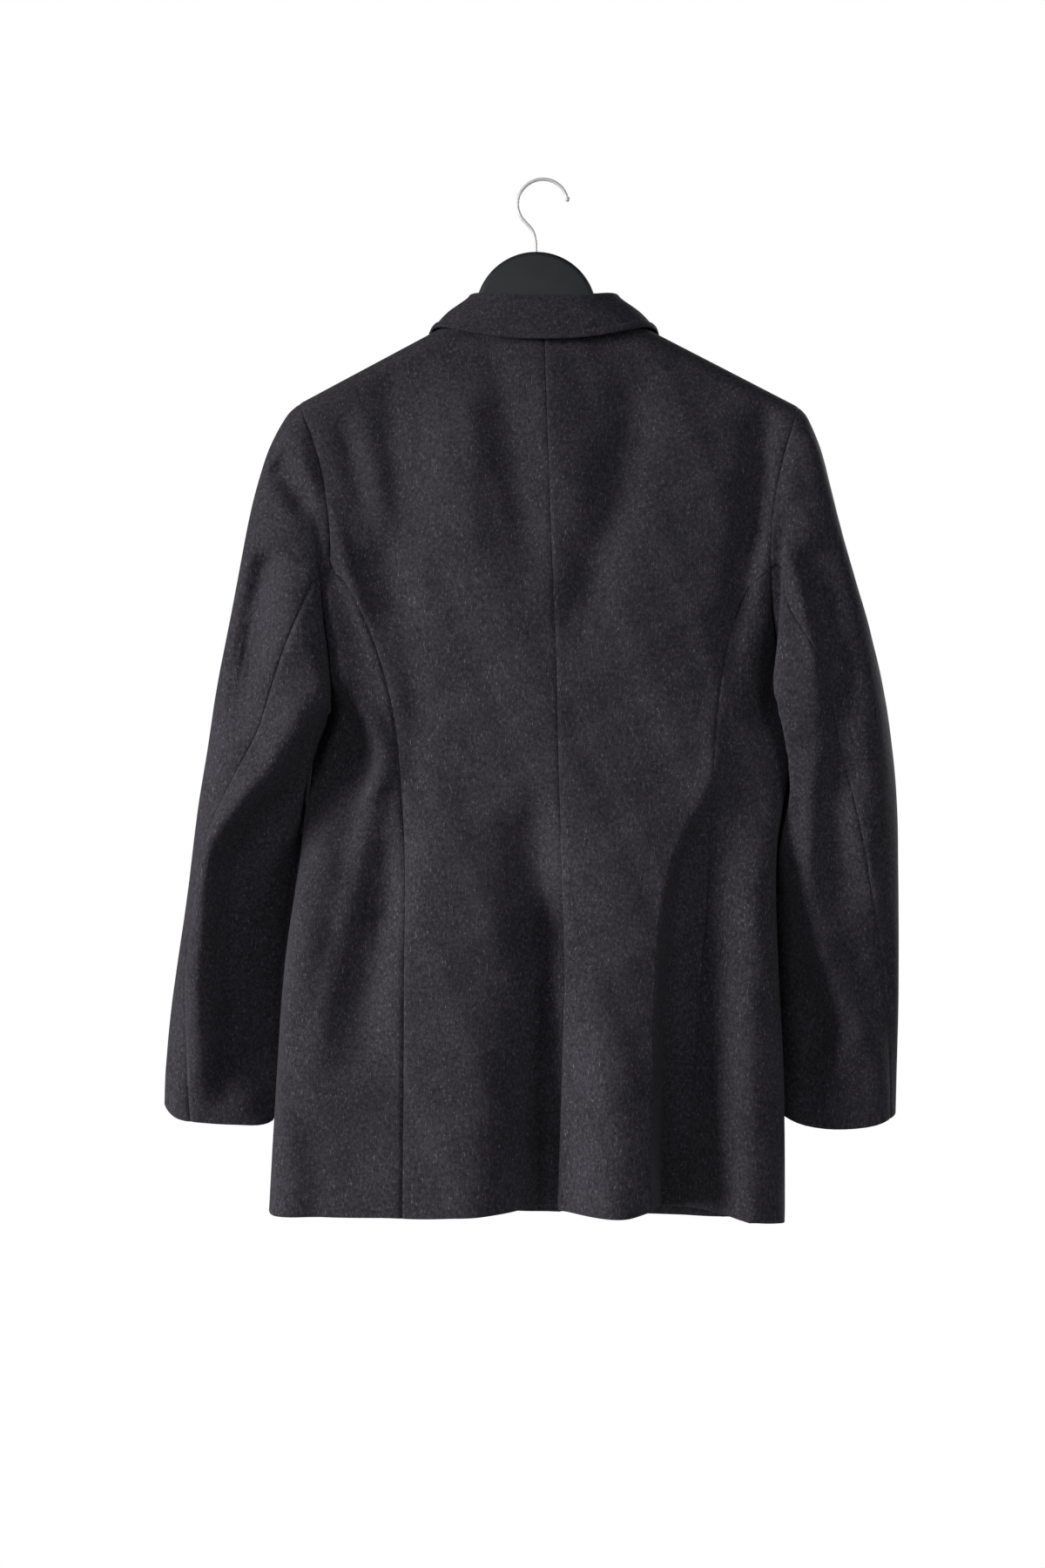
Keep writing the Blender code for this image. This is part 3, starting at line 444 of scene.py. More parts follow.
def crease_lift(creases, x, z, stretch=1.0):
    """Height of all creases and the slow ripples at places on the cloth."""
    lift = np.zeros(x.shape)
    for wave in RIPPLES:
        lift += stretch * wave.height * np.sin(2 * math.pi * (wave.across * x + wave.down * z) + wave.turn)
    along = np.linspace(0, 1, 40)[:, None]
    for crease in creases:
        top, middle, low = (np.array(end, float) for end in crease[:3])
        bend = 2 * middle - (top + low) / 2
        line = (1 - along) ** 2 * top + 2 * along * (1 - along) * bend + along ** 2 * low
        reach = 3 * max(crease.wide_left, crease.wide_right)
        near = ((x > line[:, 0].min() - reach) & (x < line[:, 0].max() + reach)
                & (z > line[:, 1].min() - reach) & (z < line[:, 1].max() + reach))
        if not near.any():
            continue
        away = np.stack([x[near], z[near]], 1)[:, None] - line[None]
        far = (away ** 2).sum(2)
        i = far.argmin(1)
        run = np.gradient(line, axis=0)[i]
        off = away[np.arange(len(i)), i]
        hand = np.sign(run[:, 0] * off[:, 1] - run[:, 1] * off[:, 0])   # above 0 to the right, going down
        wide = np.where(hand > 0, crease.wide_right, crease.wide_left)
        share = along[i, 0]
        ends = ease(share / max(crease.fade_in, 1e-6)) * ease((1 - share) / max(crease.fade_out, 1e-6))
        lift[near] += crease.depth * ends * np.exp(-far[np.arange(len(i)), i] / wide ** 2)
    return lift


def on_body(x, z, side, out=0.0):
    """Points of the body's face, moved out."""
    x, z = np.asarray(x, float), np.asarray(z, float)
    sag = TUCK_SAG * tuck_drop(x, z) if side < 0 else 0
    return np.stack([x, side * (body_depth(x, z, side) + out), z * np.ones(x.shape) - sag], -1)


# ------------------------------------------------------------ back panels
# Two panels of melton joined down the spine, open below the vent's top, where the right one laps over
# the left. Each is a thin wall, rolled under at its hem and drawn in along its seams by the stitches.
CLOTH = 0.0016
HEM_DEEP = 0.040        # the hem is turned up inside by this much
HEM_THICK = 0.0034
SEAM_DEEP = 0.0008      # the seams pull the face of the cloth in
SEAM_WIDE = 0.0015
SEAM_LAP = 0.0003       # where they meet, pieces overlap by this much under the stitches
RIM_STEPS = 4
EDGES = {               # each edge of a grid of points, and the line of points beside it
    "low": ((0, slice(None)), (1, slice(None))),
    "high": ((-1, slice(None)), (-2, slice(None))),
    "first": ((slice(None), 0), (slice(None), 1)),
    "last": ((slice(None), -1), (slice(None), -2)),
}

Seam = namedtuple("Seam", "z left centre right")
BACK_SEAMS = rows_of(
    Seam, (-0.13, -0.12, 0.002, 0.12), (-0.24, -0.15, 0.005, 0.16), (-0.35, -0.184, 0.009, 0.202),
    (-0.362, -0.174, 0.01, 0.187), (-0.38, -0.163, 0.01, 0.176), (-0.417, -0.147, 0.012, 0.164),
    (-0.462, -0.134, 0.013, 0.156), (-0.51, -0.126, 0.014, 0.152), (-0.61, -0.121, 0.017, 0.148),
    (-0.7, -0.121, 0.02, 0.142), (-0.78, -0.121, 0.018, 0.136), (-0.96, -0.122, 0.013, 0.126))
HEM_COLUMNS = (0, 0.18, 0.36, 0.54, 0.68, 0.76, 0.81, 0.86, 0.93, 1)
BACK_CREASES = rows_of(
    Crease,
    # between the left armhole and the spine
    ((-0.178, -0.205), (-0.165, -0.262), (-0.148, -0.335), 0.012, 0.011, -0.0056, 0.25, 0.4),
    ((-0.156, -0.305), (-0.134, -0.362), (-0.108, -0.44), 0.02, 0.018, -0.011, 0.4, 0.5),
    ((-0.192, -0.27), (-0.17, -0.355), (-0.138, -0.45), 0.008, 0.008, 0.0045, 0.4, 0.4),
    ((-0.133, -0.145), (-0.13, -0.25), (-0.112, -0.405), 0.014, 0.02, -0.0066, 0.3, 0.4),
    ((-0.108, -0.155), (-0.107, -0.225), (-0.099, -0.32), 0.012, 0.013, -0.0036, 0.35, 0.5),
    ((-0.07, -0.17), (-0.062, -0.27), (-0.06, -0.4), 0.026, 0.014, 0.0046, 0.4, 0.6),
    ((-0.038, -0.14), (-0.026, -0.25), (0, -0.4), 0.016, 0.02, -0.0074, 0.35, 0.35),
    ((-0.014, -0.15), (-0.01, -0.215), (-0.002, -0.3), 0.01, 0.01, -0.0018, 0.4, 0.5),
    # between the spine and the right armhole
    ((0.088, -0.15), (0.063, -0.29), (0.01, -0.455), 0.022, 0.022, -0.0108, 0.35, 0.35),
    ((0.197, -0.195), (0.187, -0.305), (0.153, -0.49), 0.016, 0.01, -0.012, 0.25, 0.4),
    ((0.208, -0.27), (0.199, -0.335), (0.184, -0.42), 0.008, 0.012, 0.0036, 0.4, 0.5),
    # below the left waist
    ((-0.198, -0.345), (-0.184, -0.405), (-0.172, -0.47), 0.022, 0.014, 0.009, 0.3, 0.3),
    ((-0.124, -0.39), (-0.111, -0.48), (-0.117, -0.575), 0.013, 0.016, -0.0045, 0.4, 0.4),
    ((-0.144, -0.528), (-0.158, -0.554), (-0.188, -0.57), 0.007, 0.007, 0.005, 0.3, 0.4),
    ((-0.13, -0.545), (-0.146, -0.668), (-0.18, -0.83), 0.034, 0.02, -0.019, 0.3, 0.45),
    ((-0.2, -0.56), (-0.222, -0.7), (-0.236, -0.93), 0.022, 0.048, 0.019, 0.3, 0.01),
    ((-0.222, -0.79), (-0.204, -0.852), (-0.196, -0.93), 0.014, 0.014, -0.005, 0.35, 0.02),
    ((-0.1, -0.48), (-0.094, -0.6), (-0.082, -0.76), 0.03, 0.03, 0.004, 0.5, 0.5),
    # above the vent, and the roll to its right
    ((-0.014, -0.54), (-0.006, -0.62), (0.006, -0.72), 0.026, 0.018, -0.0135, 0.4, 0.3),
    ((0.015, -0.64), (0.018, -0.76), (0.016, -0.93), 0.008, 0.058, 0.0075, 0.4, 0.01),
    ((0.078, -0.54), (0.076, -0.69), (0.074, -0.93), 0.058, 0.02, 0.0016, 0.5, 0.01),
    # the right waist
    ((0.218, -0.395), (0.208, -0.455), (0.188, -0.495), 0.016, 0.02, -0.012, 0.3, 0.4),
    ((0.198, -0.58), (0.203, -0.74), (0.206, -0.93), 0.034, 0.018, 0.005, 0.4, 0.01),
    ((0.158, -0.42), (0.151, -0.5), (0.15, -0.58), 0.01, 0.014, 0.003, 0.5, 0.4))
# At the left waist the elbow presses the body in behind a soft fold, whose edge is set here by its x at
# each height and by how far the cloth drops.
Fold = namedtuple("Fold", "z x deep")
WAIST_TURN = 0.009
LIP = 0.35              # a fold's edge swells by this share of its drop
PRESSED_IN = rows_of(
    Fold, (-0.43, -0.2, 0), (-0.448, -0.19, 0.006), (-0.46, -0.178, 0.012), (-0.48, -0.162, 0.017),
    (-0.501, -0.152, 0.019), (-0.522, -0.149, 0.018), (-0.544, -0.153, 0.015), (-0.566, -0.16, 0.012),
    (-0.61, -0.166, 0.009), (-0.66, -0.176, 0.007), (-0.72, -0.19, 0.005), (-0.78, -0.204, 0.003),
    (-0.84, -0.212, 0))
VENT_LAP = 0.0016       # the right edge stands off the cloth under it
VENT_SINK = 0.0170      # the left edge sinks away behind it
VENT_WIDE = 0.027
VENT_LAP_WIDE = 0.012
RIDGE_FADE = 0.030      # creases fade out this close below the shoulder ridge


def vent_open(z):
    return ease((VENT_TOP - z) / 0.08)


def fold_drop(rows, hand, turn, x, z):
    """Height of the cloth about such a fold, which drops on its left, -1, or its right, 1, in a turn."""
    deep = np.maximum(smooth(rows, "deep", z), 0)
    past = hand * (x - smooth(rows, "x", z))
    return deep * (LIP * np.exp(-((past + turn) / turn) ** 2) - ease(past / (1.4 * turn) + 0.3))


def back_lift(x, z):
    """Creases of the back, fading out on the shoulder ridge and at the body's sides."""
    ridge = ease((shoulder_line(x) - z) / RIDGE_FADE)
    lift = crease_lift(BACK_CREASES, x, z) * ridge + fold_drop(PRESSED_IN, -1, WAIST_TURN, x, z)
    return lift * np.minimum(1, 2.4 * roundness(x, z))


def unit(vectors):
    """The same directions, each one long."""
    return vectors / np.maximum(np.linalg.norm(vectors, axis=-1, keepdims=True), 1e-12)


def edge_run(rows, inner):
    """Distance along the cloth from an edge, row by row."""
    steps = np.linalg.norm(np.diff(rows, axis=1), axis=2)
    run = np.concatenate([np.zeros((len(rows), 1)), np.cumsum(steps, axis=1)], axis=1)
    return run if inner == 0 else run[:, -1:] - run


def walked(line):
    """Distance along a line of points."""
    return edge_run(np.asarray(line, float)[None], 0)[0]


def grid_normals(grid, turned):
    """Outward directions of a grid of points."""
    area = np.cross(grid[1:, 1:] - grid[:-1, :-1], grid[1:, :-1] - grid[:-1, 1:]) * turned
    total = np.zeros(grid.shape)
    for down in (slice(1, None), slice(None, -1)):
        for along in (slice(1, None), slice(None, -1)):
            total[down, along] += area
    return unit(total)


def cloth_wall(name, grid, turned, sewn, thick=CLOTH, hem=None, finish=melton, dips=None):
    """A closed wall of cloth on a grid. sewn gives how far each edge (low, high, first, last) is sewn
    down, 1, or left free and rounded, 0; dips, where the stitches pull the face in, is the same unless
    stated; hem names an edge with the cloth turned up behind it."""
    rows, columns = grid.shape[:2]
    across, down = edge_run(grid, 0), edge_run(grid.transpose(1, 0, 2), 0).T
    runs = {"first": across, "last": across[:, -1:] - across, "low": down, "high": down[-1:] - down}
    normals = grid_normals(grid, turned)
    face = grid.copy()
    for edge, share in (dips or sewn).items():
        share = np.asarray(share, float)
        if share.ndim:
            share = share[:, None] if edge in ("first", "last") else share[None, :]
        face -= normals * (SEAM_DEEP * share * np.exp(-(runs[edge] / SEAM_WIDE) ** 2))[..., None]
    depth = np.full((rows, columns), thick)
    if hem:
        depth += (HEM_THICK - thick) * (1 - ease((runs[hem] - HEM_DEEP) / 0.002))
    for edge, (at, beside) in EDGES.items():
        away = unit(grid[at] - grid[beside])
        face[at] += away * (SEAM_LAP * np.asarray(sewn[edge], float) * np.ones(len(away)))[:, None]
    inner = face - normals * depth[..., None]

    loop = [(0, i) for i in range(columns)] + [(j, columns - 1) for j in range(1, rows)]
    loop += [(rows - 1, i) for i in range(columns - 2, -1, -1)] + [(j, 0) for j in range(rows - 2, 0, -1)]
    loop = np.array(loop)
    out = np.zeros((rows, columns, 3))
    for edge, (at, beside) in EDGES.items():
        away = unit(face[at] - face[beside])
        out[at] += away * (1 - np.asarray(sewn[edge], float) * np.ones(len(away)))[:, None]
    length = np.linalg.norm(out, axis=2, keepdims=True)
    out = out / np.maximum(length, 1.0)
    j, i = loop[:, 0], loop[:, 1]
    rings = []
    for step in range(1, RIM_STEPS):
        angle = math.pi * step / RIM_STEPS
        middle, half = (face[j, i] + inner[j, i]) / 2, depth[j, i][:, None] / 2
        rings.append(middle + normals[j, i] * half * math.cos(angle) + out[j, i] * half * math.sin(angle))

    points = np.concatenate([face.reshape(-1, 3), inner.reshape(-1, 3), *rings])
    number = np.arange(rows * columns).reshape(rows, columns)
    cells = np.stack([number[:-1, :-1], number[:-1, 1:], number[1:, 1:], number[1:, :-1]], -1).reshape(-1, 4)
    back = cells[:, ::-1] + rows * columns
    around, size = number[j, i], len(loop)
    hoops = [around] + [2 * rows * columns + n * size + np.arange(size) for n in range(RIM_STEPS - 1)]
    hoops += [around + rows * columns]
    rim = [np.stack([np.roll(a, -1), a, b, np.roll(b, -1)], 1) for a, b in zip(hoops, hoops[1:])]
    faces = np.concatenate([cells, back, *rim])
    if turned < 0:
        faces = faces[:, ::-1]
    return made_piece(name, points, faces.tolist(), finish)


def made_piece(name, points, faces, finish, slot="wool", sharp=None):
    """A piece from its points and faces."""
    mesh = bpy.data.meshes.new(name)
    mesh.from_pydata(points.tolist(), [], faces)
    return hung(mesh, finish, sharp)


def hung(mesh, finish, sharp=None):
    """A smooth piece that rides with the blazer; edges sharper than the angle stay sharp."""
    mesh.shade_smooth()
    if sharp:
        mesh.set_sharp_from_angle(angle=math.radians(sharp))
    mesh.materials.append(finish)
    piece = put(mesh.name, mesh)
    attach(piece, "root")
    return piece


def shoulder_seam(side, count):
    (x0, z0), (x1, z1) = SHOULDER[side], NECK[side]
    share = np.linspace(0, 1, count)
    return np.stack([mix(x0, x1, share), mix(z0, z1, share)], 1)


def neckline(side, count):
    x0, z0 = NECK[side]
    low = NECK[-1][1] - NECK_DROP
    share = np.linspace(0, 1, count + 1)[1:]
    return np.stack([mix(x0, NECK_CENTRE, share), low + (z0 - low) * (1 - share) ** 2], 1)


def panel_plane(outer, inner, rises, top, across, low_across, face):
    """Places (x, z) of a panel's points: its lower half between two seams, its upper between two rises."""
    x = mix(outer[0, 0], inner[0, 0], low_across)
    hem = np.stack([x, hem_at(turn_of(x, HEM, face))], 1)
    hem[0], hem[-1] = outer[0], inner[0]
    blade = np.stack([mix(outer[-1, 0], inner[-1, 0], across), np.full(len(across), BLADE)], 1)
    return np.concatenate([patch(hem, blade, outer, inner, across)[:-1], patch(blade, top, *rises, across)])


def back_plane(side, columns):
    outer = levels_on(lambda z: smooth(BACK_SEAMS, SIDES[side], z), -1)
    centre = levels_on(lambda z: smooth(BACK_SEAMS, "centre", z), -1)
    across = low_across = close_columns(columns, 0.16)
    if side > 0:        # more columns in the deep pleat
        pleats = 1 - np.array(HEM_COLUMNS)[::-1]
        low_across = mix(across, np.interp(across, np.linspace(0, 1, len(pleats)), pleats), 0.75)
    line = np.concatenate([shoulder_seam(side, 200), neckline(side, 100)])
    top = np.stack([np.interp(across, np.linspace(0, 1, len(line)), line[:, n]) for n in (0, 1)], 1)
    upper_outer = rise_to(SHOULDER[side][1], lambda z: armhole_x(side, z))
    upper_centre = rise_to(top[-1][1], lambda z: smooth(BACK_SEAMS, "centre", z))
    upper_outer[0], upper_centre[-1] = outer[-1], top[-1]
    return panel_plane(outer, centre, (upper_outer, upper_centre), top, across, low_across, -1)


def back_face(side, columns=72):
    plane = back_plane(side, columns)
    x, z = plane[..., 0], plane[..., 1]
    off = np.abs(x - smooth(BACK_SEAMS, "centre", z))
    step = (VENT_LAP * np.exp(-(off / VENT_LAP_WIDE) ** 2) if side > 0
            else -VENT_SINK * np.exp(-(off / VENT_WIDE) ** 2))
    return on_body(x, z, -1, back_lift(x, z) + vent_open(z) * step)


backs = {}
for side, name in SIDES.items():
    grid = backs[side] = back_face(side)
    lapped = vent_open(grid[:, -1, 2] + 0.02) if side > 0 else 0 * grid[:, -1, 2]
    piece = cloth_wall(f"back_panel_{name}", grid, -side,
                       {"low": 0, "high": 1, "first": 1, "last": 1 - lapped}, hem="low")
    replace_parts(piece, f"back_{name}")


# ------------------------------------------------------------ vent underlap
# The left panel carries on under the right one below the vent's top: a strip of melton, hemmed with it,
# whose far edge lies free inside.
UNDERLAP = 0.041
centre_x = smooth(BACK_SEAMS, "centre", backs[1][:, -1, 2])
rows = backs[1][:, -1, 2] < VENT_TOP + 0.030
off = np.linspace(0, UNDERLAP, 14)[None] * np.ones((rows.sum(), 1))
x, z = centre_x[rows, None] + off, backs[1][rows, -1, 2][:, None] * np.ones(off.shape)
sunk = VENT_SINK * vent_open(z) * np.exp(-(off / VENT_WIDE) ** 2) + 0.0022 * ease(off / 0.008)
underlap = cloth_wall("vent_underlap_strip", on_body(x, z, -1, back_lift(x, z) - sunk), 1,
                      {"low": 0, "high": 1, "first": 1, "last": 0}, hem="low",
                      dips={"low": 0, "high": 0, "first": 0, "last": 0})
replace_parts(underlap, "vent_underlap")


# ------------------------------------------------------------ side bodies
# A narrow panel under each arm, sewn between the back and the front and cut out for the sleeve above.
# It turns round the flat edge of the hanging blazer.
Front = namedtuple("Front", "z left right")
FRONT_SEAMS = rows_of(
    Front, (-0.35, -0.184, 0.202), (-0.38, -0.176, 0.19), (-0.417, -0.169, 0.181), (-0.51, -0.158, 0.168),
    (-0.62, -0.158, 0.164), (-0.96, -0.168, 0.168))
FRONT_CREASES = rows_of(
    Crease, ((-0.192, -0.215), (-0.176, -0.25), (-0.16, -0.3), 0.012, 0.012, -0.003, 0.2, 0.5),
    ((-0.15, -0.185), (-0.148, -0.26), (-0.128, -0.39), 0.015, 0.014, -0.0032, 0.3, 0.5),
    ((0.192, -0.222), (0.178, -0.28), (0.158, -0.35), 0.014, 0.012, -0.0036, 0.3, 0.5),
    ((0.14, -0.19), (0.142, -0.255), (0.128, -0.36), 0.014, 0.015, -0.0026, 0.3, 0.5),
    ((-0.168, -0.44), (-0.12, -0.47), (-0.04, -0.45), 0.014, 0.012, -0.003, 0.4, 0.5),
    ((0.176, -0.45), (0.13, -0.485), (0.05, -0.46), 0.012, 0.014, -0.0026, 0.4, 0.5),
    ((-0.09, -0.56), (-0.098, -0.7), (-0.104, -0.925), 0.03, 0.034, 0.006, 0.6, 0.05),
    ((-0.15, -0.6), (-0.156, -0.74), (-0.16, -0.925), 0.018, 0.022, -0.006, 0.5, 0.05),
    ((0.06, -0.6), (0.066, -0.76), (0.07, -0.925), 0.024, 0.026, -0.007, 0.6, 0.05),
    ((0.12, -0.56), (0.128, -0.72), (0.134, -0.925), 0.026, 0.03, 0.007, 0.6, 0.05),
    ((-0.05, -0.61), (-0.046, -0.76), (-0.046, -0.925), 0.018, 0.02, -0.004, 0.6, 0.05))


def front_lift(x, z):
    ridge = ease((shoulder_line(x) - z) / RIDGE_FADE)
    return crease_lift(FRONT_CREASES, x, z) * ridge * np.minimum(1, 1.6 * roundness(x, z))


def swing(turn):
    """A measure of the angle round the body that spreads points evenly over its flat edge."""
    return np.sign(np.abs(turn) - 90) * np.abs(np.abs(turn) - 90) ** EDGE_FLATNESS


def turn_at(side, swung):
    return side * (90 + np.sign(swung) * np.abs(swung) ** (1 / EDGE_FLATNESS))


def side_face(side, columns=41):
    back = levels_on(lambda z: smooth(BACK_SEAMS, SIDES[side], z), -1)
    front = levels_on(lambda z: smooth(FRONT_SEAMS, SIDES[side], z), 1)
    back[:, 0] = swing(turn_of(back[:, 0], back[:, 1], -1))
    front[:, 0] = swing(turn_of(front[:, 0], front[:, 1], 1))
    across = close_columns(columns, 0.14)
    swung = mix(back[0, 0], front[0, 0], across)
    hem = np.stack([swung, hem_at(turn_at(side, swung))], 1)
    z0 = SHOULDER[side][1]
    start = math.degrees(math.acos(1 - 2 * (BLADE - z0) / (UNDERARM - z0)))
    around = mix(start, 360 - start, across)
    z = mix(z0, UNDERARM, (1 - np.cos(np.radians(around))) / 2)
    x = armhole_x(side, z)
    top = np.stack([swing(np.where(around <= 180, turn_of(x, z, -1), turn_of(x, z, 1))), z], 1)
    top[columns // 2, 0] = 0
    hem[0], hem[-1], top[0], top[-1] = back[0], front[0], back[-1], front[-1]
    plane = patch(hem, top, back, front, across)
    z, turn = plane[..., 1], turn_at(side, plane[..., 0])
    left, right = smooth(BODY, "left", z), smooth(BODY, "right", z)
    x = (left + right) / 2 + (right - left) / 2 * np.sin(np.radians(turn))
    behind = np.abs(turn) <= 90
    return np.where(behind[..., None], on_body(x, z, -1, back_lift(x, z)), on_body(x, z, 1, front_lift(x, z)))


side_faces = {}
for side, name in SIDES.items():
    side_faces[side] = side_face(side)
    piece = cloth_wall(f"side_panel_{name}", side_faces[side], side,
                       {"low": 0, "high": 1, "first": 1, "last": 1}, hem="low")
    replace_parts(piece, f"side_body_{name}")


# ------------------------------------------------------------ fronts
# Two fronts that meet down the middle, the right over the left, turned back above the top button. Like
# the back they are hemmed below and drawn in at the side and shoulder seams; the front edge is free.
FRONT_OVERLAP = 0.018
LAYER = 0.0022


def roll_line(side, z):
    """x of a front's inner edge: straight up to the break, then along the fold to the neck."""
    x0, (x1, z1) = -side * FRONT_OVERLAP, NECK[side]
    return np.where(z <= BREAK, x0, mix(x0, x1, (z - BREAK) / (z1 - BREAK)))


def front_sink(side, x):
    return -1.6 * LAYER * ease((x + 0.042) / 0.020) if side < 0 else 0.0 * x


def front_face(side, columns=72):
    outer = levels_on(lambda z: smooth(FRONT_SEAMS, SIDES[side], z), 1)
    inner = levels_on(lambda z: roll_line(side, z), 1)
    across = close_columns(columns, 0.17)
    (x0, z0), (x1, z1) = SHOULDER[side], NECK[side]
    top = np.stack([mix(x0, x1, across), mix(z0, z1, across)], 1)
    rises = rise_to(z0, lambda z: armhole_x(side, z)), rise_to(z1, lambda z: roll_line(side, z))
    rises[0][0], rises[1][0] = outer[-1], inner[-1]
    plane = panel_plane(outer, inner, rises, top, across, across, 1)
    x, z = plane[..., 0], plane[..., 1]
    return on_body(x, z, 1, front_lift(x, z) + front_sink(side, x))


fronts = {}
for side, name in SIDES.items():
    fronts[side] = front_face(side)
    piece = cloth_wall(f"front_panel_{name}", fronts[side], side,
                       {"low": 0, "high": 1, "first": 1, "last": 0}, hem="low")
    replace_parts(piece, f"front_{name}")


# ------------------------------------------------------------ lapels
# The turned-back top of each front: melton on both sides, pressed flat on the chest from the fold
# outwards, thin at the break and widest below the notch.
Lapel = namedtuple("Lapel", "z width drop")
GORGE = -0.169
LAPEL_THICK = 0.0022
LAPEL_ARCH = 0.0032     # it stands off the chest by this much at its middle
LAPEL_WAVER = 0.0006
LAPEL_ROWS = rows_of(
    Lapel, (BREAK, 0.006, 0.01), (-0.38, 0.02, 0.008), (BLADE, 0.034, 0.01), (-0.3, 0.052, 0.016),
    (-0.25, 0.066, 0.022), (-0.205, 0.076, 0.026), (GORGE, 0.068, 0.03))


def lapel_face(side, columns=34, rows=90):
    cut = LAPEL_ROWS if side > 0 else LAPEL_ROWS[2:]
    z = np.linspace(cut[0].z, cut[-1].z, rows)[:, None]
    across = close_columns(columns, 0.06)[None]
    x = roll_line(side, z) + side * smooth(cut, "width", z) * across
    down = z - smooth(cut, "drop", z) * across
    arch = LAPEL_ARCH * np.sin(math.pi * np.minimum(across * 1.1, 1))
    waver = LAPEL_WAVER * np.sin(z * 95 + side) * across
    return on_body(x, down, 1, front_lift(x, down) * (1 - across) + LAYER + arch + waver)


for side, name in SIDES.items():
    piece = cloth_wall(f"lapel_facing_{name}", lapel_face(side), -side,
                       {"low": 0, "high": 0, "first": 0, "last": 0}, thick=LAPEL_THICK)
    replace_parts(piece, f"lapel_{name}")


# ------------------------------------------------------------ sleeves
# Two-piece set-in sleeves: a wide top sleeve and a narrow under sleeve, joined by a seam down the back of
# the arm and one inside it, eased round the armhole above and hemmed at the cuff. Each hangs as a soft
# flattened tube, through rings that run from an outer place to an inner one.
Ring = namedtuple("Ring", "outer_x outer_z inner_x inner_z mid_y back front seam bow")
SLEEVES = {             # seam: degrees from the outer edge to the back seam; bow: towards the body
    -1: rows_of(
        Ring, (-0.228, -0.211, -0.209, -0.431, 0, 0.039, 0.044, 104, 0.022),
        (-0.243, -0.238, -0.196, -0.446, 0.001, 0.044, 0.049, 100, 0.02),
        (-0.253, -0.267, -0.187, -0.463, 0.002, 0.049, 0.05, 90, 0.018),
        (-0.262, -0.303, -0.185, -0.482, 0.003, 0.053, 0.05, 84, 0.018),
        (-0.272, -0.355, -0.18, -0.508, 0.004, 0.056, 0.049, 75, 0.017),
        (-0.281, -0.401, -0.184, -0.532, 0.006, 0.058, 0.047, 75, 0.01),
        (-0.291, -0.451, -0.192, -0.562, 0.009, 0.059, 0.044, 76, 0.004),
        (-0.3, -0.511, -0.204, -0.596, 0.009, 0.058, 0.041, 65, 0),
        (-0.308, -0.563, -0.213, -0.63, 0.005, 0.053, 0.038, 49, 0),
        (-0.316, -0.629, -0.219, -0.675, 0.006, 0.046, 0.034, 36, 0),
        (-0.327, -0.699, -0.223, -0.724, 0.012, 0.039, 0.031, 36, 0),
        (-0.335, -0.748, -0.226, -0.765, 0.021, 0.033, 0.029, 46, 0),
        (-0.341, -0.799, -0.228, -0.808, 0.032, 0.03, 0.027, 53, 0),
        (-0.343, -0.842, -0.23, -0.847, 0.037, 0.03, 0.026, 58, 0)),
    1: rows_of(
        Ring, (0.238, -0.213, 0.22, -0.431, 0, 0.038, 0.044, 104, 0.018),
        (0.249, -0.24, 0.209, -0.446, 0.001, 0.043, 0.049, 102, 0.014),
        (0.257, -0.27, 0.202, -0.463, 0.002, 0.048, 0.05, 99, 0.01),
        (0.266, -0.306, 0.2, -0.482, 0.003, 0.051, 0.05, 94, 0.006),
        (0.28, -0.356, 0.202, -0.508, 0.006, 0.053, 0.049, 88, 0),
        (0.294, -0.402, 0.205, -0.532, 0.011, 0.052, 0.047, 86, 0),
        (0.307, -0.452, 0.207, -0.562, 0.017, 0.05, 0.044, 84, 0),
        (0.317, -0.511, 0.207, -0.596, 0.023, 0.047, 0.041, 77, 0),
        (0.322, -0.563, 0.206, -0.63, 0.028, 0.044, 0.038, 69, 0),
        (0.324, -0.629, 0.205, -0.675, 0.033, 0.04, 0.034, 58, 0),
        (0.325, -0.699, 0.206, -0.724, 0.037, 0.035, 0.031, 46, 0),
        (0.325, -0.748, 0.208, -0.765, 0.039, 0.032, 0.029, 38, 0),
        (0.324, -0.799, 0.21, -0.808, 0.041, 0.03, 0.027, 32, 0),
        (0.323, -0.843, 0.211, -0.847, 0.042, 0.03, 0.026, 29, 0)),
}
SLEEVE_CLEAR = 0.0045
ELBOW = -0.470
Gap = namedtuple("Gap", "z wide extra")
SLEEVE_GAPS = {-1: Gap(-0.575, 0.045, 0.000), 1: Gap(-0.480, 0.050, 0.009)}
SLEEVE_ROWS = 9         # fine rows from one ring to the next

# Below the elbow the inner half of each sleeve falls in behind a soft fold.
ARM_TURN = 0.013
FALLEN_IN = {
    -1: rows_of(
        Fold, (-0.44, -0.172, 0), (-0.459, -0.181, 0.006), (-0.487, -0.202, 0.014), (-0.53, -0.231, 0.023),
        (-0.565, -0.262, 0.03), (-0.6, -0.284, 0.036), (-0.635, -0.289, 0.04), (-0.706, -0.293, 0.035),
        (-0.776, -0.296, 0.022), (-0.815, -0.299, 0.009), (-0.85, -0.303, 0)),
    1: rows_of(
        Fold, (-0.59, 0.214, 0), (-0.628, 0.224, 0.012), (-0.656, 0.231, 0.018), (-0.685, 0.24, 0.022),
        (-0.727, 0.254, 0.023), (-0.76, 0.266, 0.021), (-0.785, 0.261, 0.018), (-0.819, 0.254, 0.009),
        (-0.85, 0.25, 0.002)),
}
